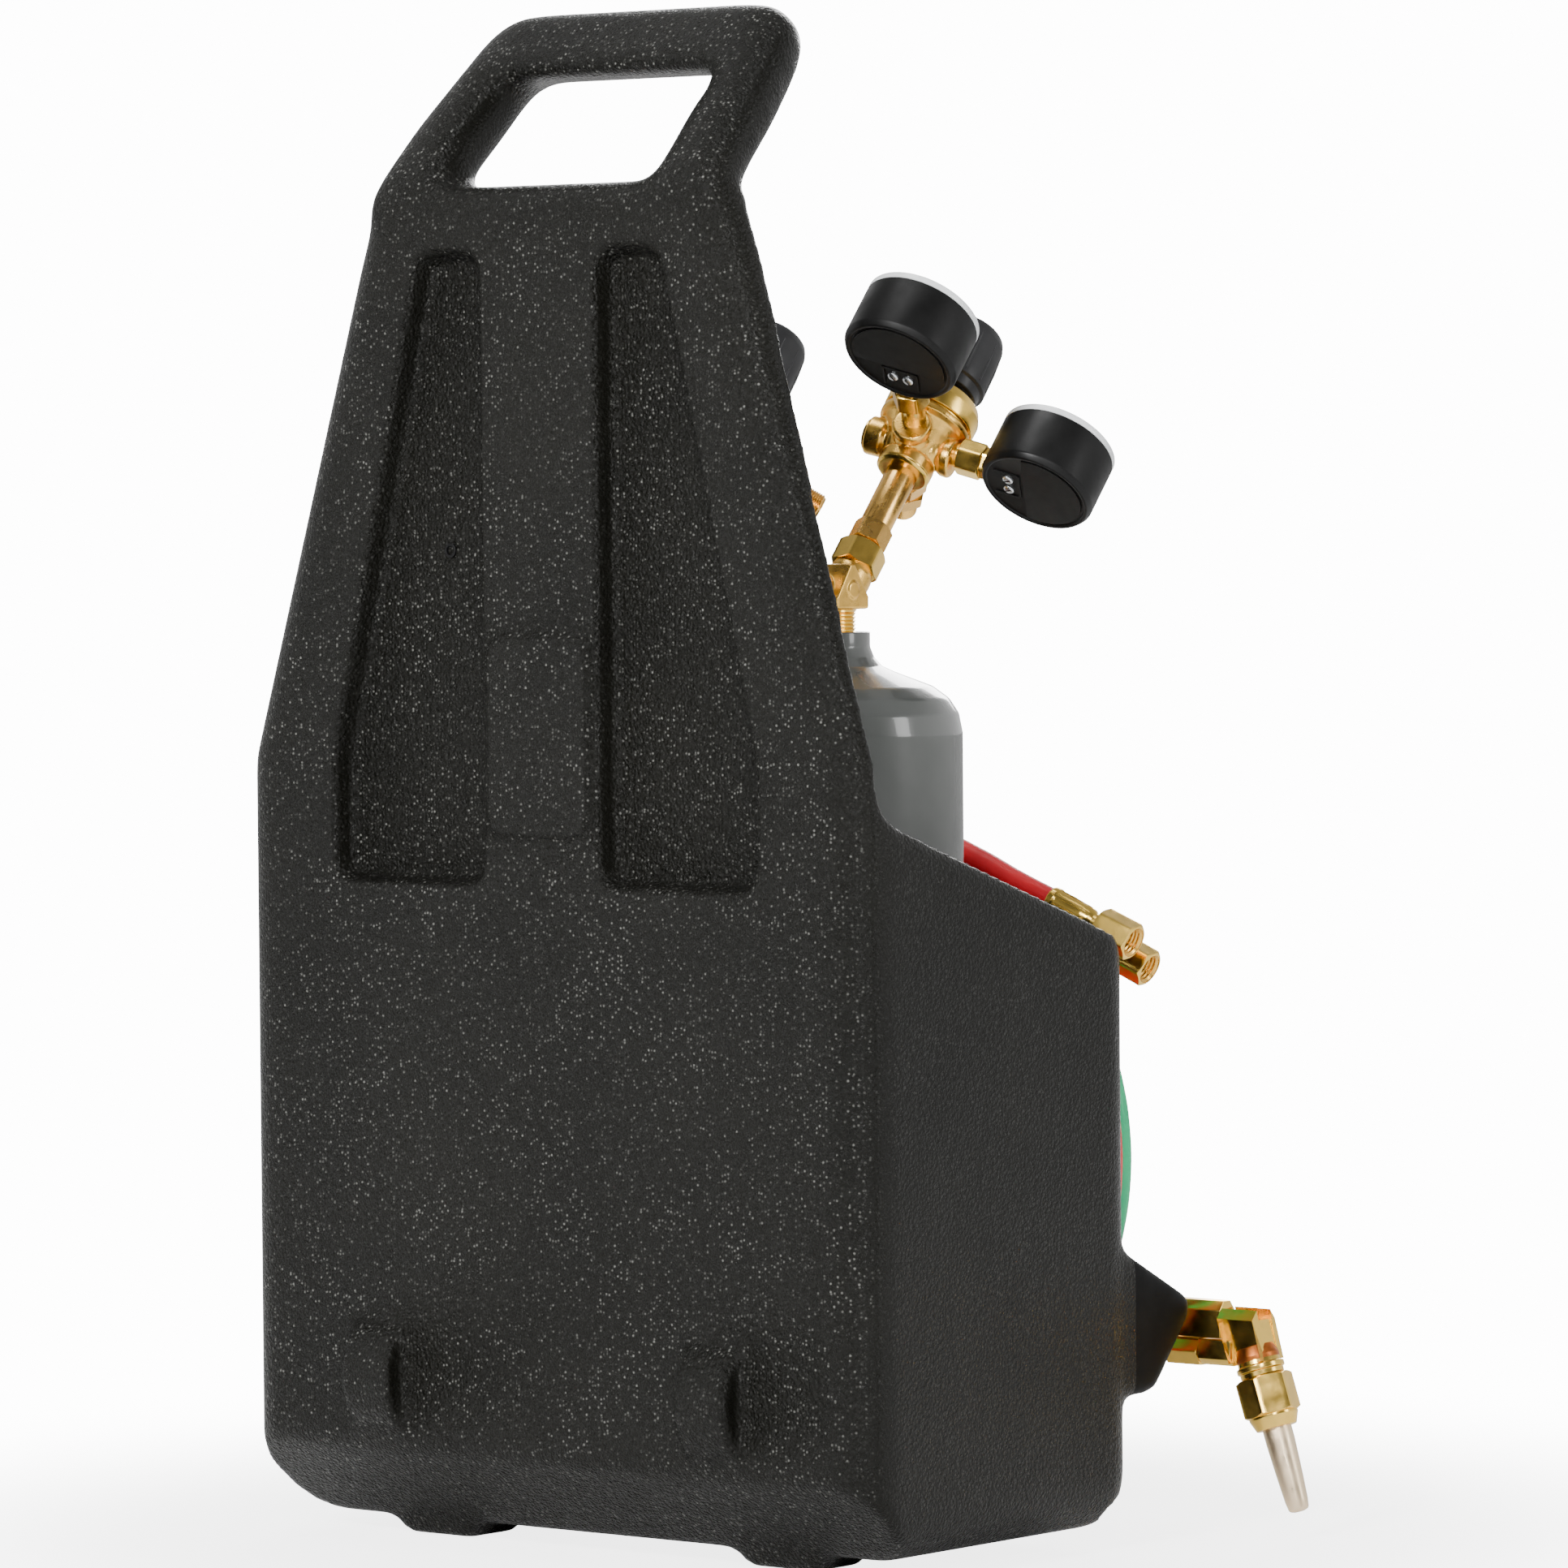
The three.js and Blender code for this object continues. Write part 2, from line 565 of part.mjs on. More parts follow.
function buildTorch(model) {
  const knobX = 118;
  const upwards = [0, -0.45, 0.9];
  const downwards = [0, -0.45, -0.9];
  const add = (name, shape, material) => model.add(meshOf(name, shape, material));
  add("torch_handle", torchHandle(knobX, [upwards, downwards]), materials.brass);
  add("torch_oxygen_knob", torchKnob(knobX, upwards), materials.greenHose);
  add("torch_fuel_knob", torchKnob(knobX, downwards), materials.redHose);

  const nut = ring(9 + GAP, 14.5, 0, 20, 18, torchLine(torch.gripFront + GAP), towardsHead);
  add("attachment_coupling_nut", nut, materials.brass);

  const bodyStart = torch.gripFront - 20.2;
  const post = [[-4, -3], [4, -3], [4, 9.2], [-4, 9.2]];
  const attachment = joined(
    rod(12, 0, 46, 14, torchLine(bodyStart), towardsHead),
    rod(5, 4, 16.5, 10, torchLine(bodyStart - 34), [0, -1, 0]),
    frontPrism(post.map(([x, z]) => [x + bodyStart - 12, z + torch.z + 10]), torch.y - 3, torch.y + 3),
  ).subtract(rod(1.8, -10, 10, 10, [bodyStart - 12, torch.y, torch.z + 17], [0, 1, 0]));
  add("attachment_body", attachment, materials.brass);
  const preheat = turned([[0, 17], [8, 17], [9, 19], [8.6, 27], [7, 29], [0, 29]], 16,
    torchLine(bodyStart - 34), [0, -1, 0]);
  add("attachment_preheat_knob", preheat, materials.brass);

  const pinX = bodyStart - 12;
  const pinZ = torch.z + 17;
  const leverOutline = [[-14, -1], [-3, -4], [3, -4], [12, -0.5], [96, 6.5], [109, 11.5],
    [107, 14.5], [94, 9.5], [10, 5.2], [-14, 4.2]];
  const lever = frontPrism(leverOutline.map(([x, z]) => [x + pinX, z + pinZ]),
    torch.y - 6.5, torch.y + 6.5)
    .subtract(block([pinX - 8, torch.y - 3 - GAP, pinZ - 12], [pinX + 8, torch.y + 3 + GAP, pinZ + 3]))
    .subtract(rod(1.8, -10, 10, 10, [pinX, torch.y, pinZ], [0, 1, 0]));
  add("cutting_lever", lever, materials.brass);
  add("cutting_lever_pin", rod(1.5, -7.5, 7.5, 10, [pinX, torch.y, pinZ], [0, 1, 0]), materials.steel);

  const tubeStart = bodyStart - 46 - GAP;
  const upper = tubeStart + 196.2;
  const lower = tubeStart + 163.5;
  const bar = block([-196.2, torch.y - 6.2, 92], [-168, torch.y + 6.2, 110]);
  add("torch_cutting_tube", rod(5.4, 0, upper, 16, torchLine(tubeStart, 103.4), towardsHead).add(bar),
    materials.brass);
  add("torch_preheat_tube", joined(
    rod(3.6, 0, lower + 8, 12, torchLine(tubeStart, 86.5), towardsHead),
    hexagon(13.5, lower, lower + 20, torchLine(tubeStart, 85.2), towardsHead),
  ), materials.brass);

  const top = [torch.headX, torch.y, torch.headTop];
  const cheeks = frontPrism(
    [[-196.5, 107, 2], [-219.5, 107, 2], [-228.5, 82.4, 2], [-202.5, 79.4, 2]],
    torch.y - 9.5, torch.y + 9.5, 1, 1);
  const lowerBlock = frontPrism([[-184, 91.7], [-205, 91.7], [-205, 79], [-184, 79]],
    torch.y - 7.5, torch.y + 7.5);
  const neck = rod(10.7, 21, 32.3, 20, top, tipDirection);
  add("torch_head", joined(cheeks, lowerBlock, neck), materials.brass);
  const tipNut = hexagon(25.4, 32.3 + GAP, 51, top, tipDirection)
    .intersect(turned([[0, 32], [13, 32.5], [14.9, 34.5], [14.9, 49], [12.8, 51.4], [0, 51.4]], 12, top,
      tipDirection))
    .add(turned([[0, 50], [12, 50], [9.6, 58], [0, 58]], 14, top, tipDirection))
    .subtract(rod(7.2, 42, 62, 16, top, tipDirection));
  add("torch_tip_nut", tipNut, materials.brass);
  const tip = turned([[0, 43], [6.9, 43], [6.9, 66], [5.8, 90], [4.9, 97], [2.4, 98.5], [0, 97]], 14,
    top, tipDirection);
  add("torch_tip", tip, materials.copper);
}

// ---- twin hose ----

// Each run is a list of places that the hose passes, from the torch to the coil and from the
// coil to its free end. The coil's own turns lie in a ring on the front wall.
const hoseRuns = {
  red: {
    toCoil: [[172, torch.y + inletOffset, 97], [190, -168.1, 97.4], [212, -163.5, 110.5],
      [222, -155, 142], [214, -147.5, 186], [190, -141, 232], [152, -138, 272], [104, -137, 303],
      [56, -137, 320], [14, -137, 326.5]],
    toEnd: [[-8, -116, 326.2], [-40, -116, 329], [-70, -116, 327.5], [-95, -116, 319.2],
      [-118, -115.6, 309.3], [-137.6, -117.2, 301]],
  },
  green: {
    toCoil: [[172, torch.y - inletOffset, 97], [192, -181.6, 97.5], [216, -177, 110],
      [229, -169, 142], [222, -160.5, 188], [198, -153.5, 237], [158, -149.5, 279],
      [108, -148.3, 311], [58, -148.3, 325.5], [14, -148.3, 326.5]],
    toEnd: [[-8, -128, 326.2], [-38, -128, 327], [-66, -128.6, 320.5], [-91, -130.4, 309.5],
      [-114, -132.8, 299], [-133.8, -135, 289.5]],
  },
};

function freeEnd(points) {
  const end = new THREE.Vector3(...points[points.length - 1]);
  const before = new THREE.Vector3(...points[points.length - 2]);
  return { start: end.toArray(), direction: end.clone().sub(before).normalize().toArray() };
}

function buildHose(model) {
  const radius = hose.diameter / 2;
  const add = (name, shape, material) => model.add(meshOf(name, shape, material));
  const coil = ring(hose.inner, hose.outer, hose.far, hose.near, 36,
    [hose.coilX, 0, hose.coilZ], [0, 1, 0]);
  add("hose_coil", coil, materials.greenHose);
  for (const colour of ["red", "green"]) {
    const { toCoil, toEnd } = hoseRuns[colour];
    const material = materials[`${colour}Hose`];
    add(`${colour}_hose_to_torch`, tube(toCoil, radius), material);
    add(`${colour}_hose_to_end`, tube(toEnd, radius), material);

    const [x, y, z] = toCoil[0];
    add(`${colour}_torch_nut`, joined(
      hexagon(11.9, 4, 15, [x - 36, y, z], [1, 0, 0]),
      rod(5.4, 15, 36 - GAP, 14, [x - 36, y, z], [1, 0, 0]),
    ).subtract(rod(4.9, 0, 13, 14, [x - 36, y, z], [1, 0, 0])), materials.brass);

    const { start, direction } = freeEnd(toEnd);
    add(`${colour}_hose_ferrule`, joined(
      rod(6.4, GAP, 24, 16, start, direction),
      rod(4.4, 23, 39, 12, start, direction),
    ), materials.brass);
    add(`${colour}_hose_nut`, hexagon(17, 30, 50, start, direction)
      .subtract(rod(4.9, 28, 42, 12, start, direction))
      .subtract(rod(7, 39 + GAP, 52, 14, start, direction)), materials.brass);
  }
}

// ---- assembly ----

const model = new THREE.Group();
model.position.set(...ORIGIN_SHIFT);
model.add(meshOf("carrier_case", toteSolid(), materials.polyethylene));
model.add(meshOf("oxygen_cylinder", cylinderSolid(oxygen, 4.5), materials.enamel));
model.add(meshOf("acetylene_cylinder", cylinderSolid(acetylene, 3), materials.enamel));
buildValve("oxygen", oxygen, model);
buildValve("acetylene", acetylene, model);
buildRegulator("oxygen", oxygen, -1, model);
buildRegulator("acetylene", acetylene, 1, model);
buildTorch(model);
buildHose(model);

export default model;
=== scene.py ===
"""Portable oxy-acetylene torch carrier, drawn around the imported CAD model.

Sizes are in millimetres on the axes that the CAD source draws in, before it moves the model to the
middle of its box. placed() makes the same move and turns millimetres into metres.
"""
import math

import bmesh
import bpy
import numpy as np
from mathutils import Matrix, Vector


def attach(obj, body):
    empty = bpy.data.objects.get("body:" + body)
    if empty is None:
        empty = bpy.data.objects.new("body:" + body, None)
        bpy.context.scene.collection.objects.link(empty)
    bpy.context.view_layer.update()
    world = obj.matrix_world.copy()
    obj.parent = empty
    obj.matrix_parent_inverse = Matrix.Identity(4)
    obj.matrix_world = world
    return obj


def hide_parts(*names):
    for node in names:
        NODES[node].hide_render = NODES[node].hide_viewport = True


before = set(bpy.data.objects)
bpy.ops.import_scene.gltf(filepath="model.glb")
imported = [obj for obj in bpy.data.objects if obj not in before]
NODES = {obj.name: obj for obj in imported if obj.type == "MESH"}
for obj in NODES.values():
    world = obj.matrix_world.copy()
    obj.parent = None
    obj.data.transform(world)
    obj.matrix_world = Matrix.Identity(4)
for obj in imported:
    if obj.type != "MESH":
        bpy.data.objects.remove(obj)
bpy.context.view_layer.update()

# ---- driving dimensions ----

MM = 0.001
ORIGIN_SHIFT = Vector((28, 48.25, 0))
VALVE_LEAN = math.radians(39.8)
VALVE_AXIS_Z = 435
REGULATOR_REACH = 106
GAUGE_RADIUS, GAUGE_REAR, GAUGE_DIAL, GAUGE_FRONT = 28, -8, 11, 20
TORCH_Y, TORCH_Z = -175.5, 97
HOSE_DIAMETER = 11
COIL_X, COIL_Z = -18, 178
TOTE_X, TOTE_FRONT, TOTE_BACK = -3.2, -107, 95
RECESS_DEPTH, PAD_HEIGHT = 11.5, 3.0
BACKDROP_WHITE, OPEN_SIDE_LIGHT, CEILING_LIGHT = 14.0, 0.22, 0.4

CYLINDERS = {
    "oxygen": dict(x=-92, y=-8, radius=62, outward=-1),
    "acetylene": dict(x=46, y=-30, radius=51, outward=1),
}
# each port's direction round the regulator in degrees, and how far out it reaches
PORTS = {"contents": (-26.4, 63), "delivery": (63.6, 75), "relief": (153.6, 27), "outlet": (232, 26)}


def placed(point):
    """A point on the CAD source's drawing axes, moved into the row frame and in metres."""
    return (Vector(point) + ORIGIN_SHIFT) * MM


# ---- camera, lights and floor ----


def add_camera():
    azimuth, pitch, roll = (math.radians(angle) for angle in (39.082, 2.132, -0.474))
    forward = Vector((
        math.sin(azimuth) * math.cos(pitch),
        -math.cos(azimuth) * math.cos(pitch),
        -math.sin(pitch),
    ))
    right = Vector((-math.cos(azimuth), -math.sin(azimuth), 0))
    up = right.cross(forward)
    rolled_right = right * math.cos(roll) + up * math.sin(roll)
    rolled_up = up * math.cos(roll) - right * math.sin(roll)
    data = bpy.data.cameras.new("camera")
    data.lens = 186.34
    data.sensor_width = 36
    data.clip_end = 50
    camera = bpy.data.objects.new("camera", data)
    turn = Matrix((rolled_right, rolled_up, -forward)).transposed().to_4x4()
    camera.matrix_world = Matrix.Translation(placed((-2449.0, 2927.8, 498.7))) @ turn
    bpy.context.scene.collection.objects.link(camera)
    bpy.context.scene.camera = camera


def add_area_light(name, position, size, power):
    data = bpy.data.lights.new(name, "AREA")
    data.shape = "RECTANGLE"
    data.size, data.size_y = size
    data.energy = power
    light = bpy.data.objects.new(name, data)
    light.location = position
    aim = Vector((0, 0, 0.35)) - Vector(position)
    light.rotation_euler = aim.to_track_quat("-Z", "Y").to_euler()
    bpy.context.scene.collection.objects.link(light)


def add_studio():
    add_area_light("key_light", (-0.5, 3.2, 1.9), (0.7, 0.7), 120)
    add_area_light("side_light", (-3.2, -0.9, 1.3), (0.8, 1.4), 24)
    add_area_light("top_light", (0.2, 0.3, 3.0), (1.2, 1.2), 30)
    add_area_light("front_light", (1.6, -2.8, 1.6), (1.4, 1.4), 70)
    add_area_light("edge_light", (-2.2, 2.3, 1.5), (0.3, 1.2), 45)
    bpy.ops.mesh.primitive_plane_add(size=60, location=(0, 0, -0.0006))
    floor = bpy.context.object
    floor.name = "floor"
    floor.data.materials.append(floor_material())
    world = bpy.data.worlds.new("studio")
    bpy.context.scene.world = world
    light_world(world)


def light_world(world):
    """White walls; what lights the object is dimmer than the white that stands behind it."""
    world.use_nodes = True
    nodes = Nodes(world)
    around = nodes.coordinates["Generated"]
    # the studio's open side and its ceiling are dimmer than its walls
    towards_open = nodes.add("ShaderNodeVectorMath", (0, around), operation="DOT_PRODUCT")
    towards_open.inputs[1].default_value = (-0.63, 0.776, 0)
    height = nodes.add("ShaderNodeSeparateXYZ", (0, around))
    light = nodes.product(
        nodes.between(towards_open.outputs["Value"], 0.0, 0.8, 1, OPEN_SIDE_LIGHT,
                      interpolation_type="SMOOTHSTEP"),
        nodes.between(height.outputs["Z"], 0.2, 0.75, 1, CEILING_LIGHT,
                      interpolation_type="SMOOTHSTEP"))
    path = nodes.add("ShaderNodeLightPath")
    shown = nodes.between(path.outputs["Is Camera Ray"], 0, 1, 0, BACKDROP_WHITE)
    nodes.tree.links.new(light, shown.node.inputs["To Min"])
    background = nodes.tree.nodes["Background"]
    background.inputs["Color"].default_value = (1, 1, 1, 1)
    nodes.tree.links.new(shown, background.inputs["Strength"])


# ---- materials ----


def plain_material(name, color, roughness, metallic=0.0):
    material = bpy.data.materials.new(name)
    material.use_nodes = True
    shader = material.node_tree.nodes["Principled BSDF"]
    shader.inputs["Base Color"].default_value = (*color, 1)
    shader.inputs["Roughness"].default_value = roughness
    shader.inputs["Metallic"].default_value = metallic
    return material


class Nodes:
    """Short calls for the nodes of one material or world."""

    def __init__(self, owner):
        self.tree = owner.node_tree
        self.shader = self.tree.nodes.get("Principled BSDF")
        self.coordinates = self.tree.nodes.new("ShaderNodeTexCoord").outputs
        self.place = self.coordinates["Object"]

    def add(self, kind, *links, **settings):
        node = self.tree.nodes.new(kind)
        for key, value in settings.items():
            if key in node.inputs:
                node.inputs[key].default_value = value
            else:
                setattr(node, key, value)
        for socket, source in links:
            self.tree.links.new(source, node.inputs[socket])
        return node

    def noise(self, scale, detail):
        node = self.add("ShaderNodeTexNoise", ("Vector", self.place), Scale=scale, Detail=detail,
                        Roughness=0.55)
        return node.outputs["Fac"]

    def product(self, result, *factors):
        for factor in factors:
            node = self.add("ShaderNodeMath", (0, result), (1, factor), operation="MULTIPLY")
            result = node.outputs[0]
        return result

    def ramp(self, source, low, high, first, last):
        node = self.add("ShaderNodeValToRGB", ("Fac", source))
        ends = node.color_ramp.elements
        ends[0].position, ends[1].position = low, high
        ends[0].color, ends[1].color = (*first, 1), (*last, 1)
        return node.outputs["Color"]

    def between(self, source, low, high, first, last, **settings):
        node = self.add("ShaderNodeMapRange", ("Value", source), **settings)
        for key, value in zip(("From Min", "From Max", "To Min", "To Max"), (low, high, first, last)):
            node.inputs[key].default_value = value
        return node.outputs["Result"]

    def bump(self, height, strength, distance, after=None):
        node = self.add("ShaderNodeBump", ("Height", height), Strength=strength, Distance=distance)
        if after:
            self.tree.links.new(after, node.inputs["Normal"])
        return node.outputs["Normal"]

    def drive(self, **links):
        for key, source in links.items():
            self.tree.links.new(source, self.shader.inputs[key.replace("_", " ")])


def floor_material():
    """White paper that brightens away from the object until it equals the studio's white."""
    material = plain_material("floor_paint", (0.9, 0.9, 0.9), 0.8)
    nodes = Nodes(material)
    distance = nodes.add("ShaderNodeVectorMath", (0, nodes.place), operation="LENGTH")
    share = nodes.between(distance.outputs["Value"], 0.2, 0.75, 0.28, 1,
                          interpolation_type="SMOOTHERSTEP")
    path = nodes.add("ShaderNodeLightPath")
    factor = nodes.product(share, path.outputs["Is Camera Ray"])
    white = nodes.add("ShaderNodeEmission", Strength=BACKDROP_WHITE)
    mixed = nodes.add("ShaderNodeMixShader", (0, factor),
                      (1, nodes.shader.outputs[0]), (2, white.outputs[0]))
    nodes.tree.links.new(mixed.outputs[0], nodes.tree.nodes["Material Output"].inputs["Surface"])
    return material


def polyethylene_material():
    """Rotation-moulded black polyethylene with a fine pebble grain; pale painted highlight specks make it
    sparkle.
    """
    material = plain_material("moulded_polyethylene", (0.01, 0.0105, 0.0095), 0.36)
    nodes = Nodes(material)
    cells = nodes.add("ShaderNodeTexVoronoi", ("Vector", nodes.place), Scale=560.0)
    pick = nodes.add("ShaderNodeSeparateColor", ("Color", cells.outputs["Color"]))
    # pale specks at a share of the grain's cells are painted highlights, glints drawn into the colour
    chosen = nodes.between(pick.outputs[0], 0.62, 0.95, 0.0, 1.0)
    spot = nodes.between(cells.outputs["Distance"], 0.42, 0.2, 0.0, 1.0)
    patches = nodes.between(nodes.noise(22, 3), 0.35, 0.65, 0.35, 1.0)
    # faces that point along X, the tote's two sides, get weaker grain bumps and fewer painted highlight
    # specks
    facing = nodes.add("ShaderNodeSeparateXYZ", (0, nodes.coordinates["Normal"]))
    sideways = nodes.add("ShaderNodeMath", (0, facing.outputs["X"]), operation="ABSOLUTE")
    grain_and_glint_share = nodes.between(sideways.outputs[0], 0.6, 0.95, 1.0, 0.12)
    painted_glints = nodes.product(chosen, spot, patches, grain_and_glint_share)
    fine = nodes.noise(1100, 2)
    pebbles = nodes.add("ShaderNodeMath", (0, cells.outputs["Distance"]), (1, fine), operation="ADD")
    ripple = nodes.bump(nodes.noise(28, 2), 0.12, 0.004)
    normal = nodes.bump(pebbles.outputs[0], 0.9, 0.0011, ripple)
    grain = nodes.between(grain_and_glint_share, 0.12, 1.0, 0.3, 0.9)
    nodes.tree.links.new(grain, normal.node.inputs["Strength"])
    tone = nodes.ramp(nodes.noise(9, 5), 0.3, 0.75, (0.004, 0.004, 0.0028), (0.0078, 0.0076, 0.0058))
    # a colour mix takes its two colours at inputs 6 and 7 and gives the result at output 2
    color = nodes.add("ShaderNodeMix", data_type="RGBA")
    nodes.tree.links.new(painted_glints, color.inputs[0])
    nodes.tree.links.new(tone, color.inputs[6])
    # the pale colour of the painted highlight specks
    color.inputs[7].default_value = (0.2, 0.2, 0.185, 1)
    nodes.drive(
        Base_Color=color.outputs[2],
        Roughness=nodes.between(nodes.noise(300, 3), 0.3, 0.7, 0.2, 0.34),
        Normal=normal,
    )
    nodes.shader.inputs["Specular IOR Level"].default_value = 0.17
    return material


def brass_material(name, color, roughness, grain, tarnish):
    material = plain_material(name, color, roughness, 1.0)
    nodes = Nodes(material)
    smudges = nodes.noise(90, 4)
    dark = tuple(channel * tarnish for channel in color)
    nodes.drive(
        Base_Color=nodes.ramp(smudges, 0.38, 0.6, dark, color),
        Roughness=nodes.between(nodes.noise(160, 4), 0.3, 0.7, roughness * 0.8, roughness * 1.35),
        Normal=nodes.bump(nodes.noise(1500, 2), grain, 0.0002),
    )
    return material


def enamel_material():
    material = plain_material("grey_enamel", (0.13, 0.135, 0.13), 0.2)
    nodes = Nodes(material)
    nodes.drive(
        Base_Color=nodes.ramp(nodes.noise(11, 4), 0.3, 0.7, (0.085, 0.09, 0.085), (0.11, 0.115, 0.11)),
        Roughness=nodes.between(nodes.noise(40, 3), 0.3, 0.7, 0.16, 0.26),
        Normal=nodes.bump(nodes.noise(150, 2), 0.1, 0.0004),
    )
    nodes.shader.inputs["Coat Weight"].default_value = 0.6
    nodes.shader.inputs["Coat Roughness"].default_value = 0.06
    return material


def plastic_material(name, color, roughness, grain=0.08, gloss=0.36):
    material = plain_material(name, color, roughness)
    nodes = Nodes(material)
    nodes.shader.inputs["Specular IOR Level"].default_value = gloss
    nodes.drive(
        Roughness=nodes.between(nodes.noise(60, 3), 0.3, 0.7, roughness * 0.8, roughness * 1.3),
        Normal=nodes.bump(nodes.noise(1200, 2), grain, 0.0002),
    )
    return material


def rubber_material(name, color):
    material = plain_material(name, color, 0.42)
    nodes = Nodes(material)
    dull = tuple(channel * 0.72 for channel in color)
    nodes.drive(
        Base_Color=nodes.ramp(nodes.noise(35, 4), 0.35, 0.65, dull, color),
        Roughness=nodes.between(nodes.noise(120, 3), 0.3, 0.7, 0.34, 0.52),
        Normal=nodes.bump(nodes.noise(700, 3), 0.18, 0.0003),
    )
    return material


def lens_material():
    material = plain_material("clear_lens", (0.95, 0.97, 0.98), 0.03)
    shader = material.node_tree.nodes["Principled BSDF"]
    shader.inputs["Transmission Weight"].default_value = 1.0
    shader.inputs["IOR"].default_value = 1.46
    return material


POLYETHYLENE = polyethylene_material()
RACK_BLACK = plastic_material("smooth_rack_plastic", (0.001, 0.001, 0.001), 0.45, 0.05, 0.1)
BRASS = brass_material("machined_brass", (1.0, 0.66, 0.14), 0.2, 0.04, 0.88)
CAST_BRASS = brass_material("forged_brass", (1.0, 0.6, 0.13), 0.27, 0.3, 0.78)
TUBE_BRASS = brass_material("drawn_red_brass", (1.0, 0.59, 0.16), 0.24, 0.02, 0.88)
COPPER = brass_material("drawn_copper", (1.0, 0.79, 0.53), 0.34, 0.05, 0.95)
ENAMEL = enamel_material()
BLACK = plastic_material("black_gauge_paint", (0.003, 0.003, 0.003), 0.42, 0.08, 0.24)
KNOB_BLACK = plastic_material("black_knob_plastic", (0.014, 0.014, 0.015), 0.42, 0.2)
RED_RUBBER = rubber_material("red_hose_rubber", (0.92, 0.02, 0.035))
GREEN_RUBBER = rubber_material("green_hose_rubber", (0.001, 0.56, 0.22))
GREEN_KNOB = plastic_material("green_knob_plastic", (0.01, 0.2, 0.08), 0.35)
RED_KNOB = plastic_material("red_knob_plastic", (0.45, 0.01, 0.015), 0.35)
ZINC = brass_material("zinc_plate", (0.84, 0.87, 0.9), 0.3, 0.05, 0.85)
STEEL = brass_material("spring_steel", (0.5, 0.5, 0.52), 0.3, 0.05, 0.8)
BRAZE = brass_material("brazed_joint", (0.75, 0.22, 0.05), 0.35, 0.3, 0.6)
DIAL = plastic_material("dial_white", (0.85, 0.85, 0.83), 0.45)
INK = plain_material("dial_ink", (0.01, 0.01, 0.01), 0.5)
RED_INK = plain_material("dial_red", (0.6, 0.02, 0.02), 0.5)
LENS = lens_material()
# the lens rim is opaque and pale: painted highlight for the bright edge of the clear lens
LENS_RIM_HIGHLIGHT = plastic_material("lens_rim_painted_highlight", (0.86, 0.88, 0.89), 0.12, 0.02)


# ---- shapes ----

# turns an outline in X and Y into one in Y and Z that is extruded along X
OUTLINE_IN_YZ = Matrix(((0, 0, 1, 0), (1, 0, 0, 0), (0, 1, 0, 0), (0, 0, 0, 1)))


def aimed(start, direction, side=(1, 0, 0)):
    """A matrix in millimetres whose +Z points along direction and +X as near to side as it can."""
    up = Vector(direction).normalized()
    across = Vector(side) - up * Vector(side).dot(up)
    if across.length < 1e-4:
        across = up.orthogonal()
    across.normalize()
    turn = Matrix((across, up.cross(across), up)).transposed().to_4x4()
    return Matrix.Translation(Vector(start)) @ turn


def spun(matrix, angle):
    return matrix @ Matrix.Rotation(angle, 4, "Z")


def rounded_path(points, radius, steps=3, closed=False):
    """A path with its corners turned into arcs of about the radius."""
    result = []
    count = len(points)
    for i, point in enumerate(points):
        corner = Vector(point[:2])
        own = point[2] if len(point) > 2 else radius
        if own <= 0 or (not closed and i in (0, count - 1)):
            result.append(tuple(corner))
            continue
        back = Vector(points[i - 1][:2]) - corner
        forth = Vector(points[(i + 1) % count][:2]) - corner
        if back.length < 1e-6 or forth.length < 1e-6:
            result.append(tuple(corner))
            continue
        half = back.angle(forth) / 2
        if half > math.radians(86):
            result.append(tuple(corner))
            continue
        cut = min(own / math.tan(half), back.length * 0.45, forth.length * 0.45)
        start = corner + back.normalized() * cut
        end = corner + forth.normalized() * cut
        for step in range(steps + 1):
            t = step / steps
            result.append(tuple(start.lerp(corner, t).lerp(corner.lerp(end, t), t)))
    return result


def ring(radius_at, height, count):
    """Points round the axis; radius_at gives the radius at an angle."""
    angles = [2 * math.pi * i / count for i in range(count)]
    return [(radius_at(a) * math.cos(a), radius_at(a) * math.sin(a), height) for a in angles]


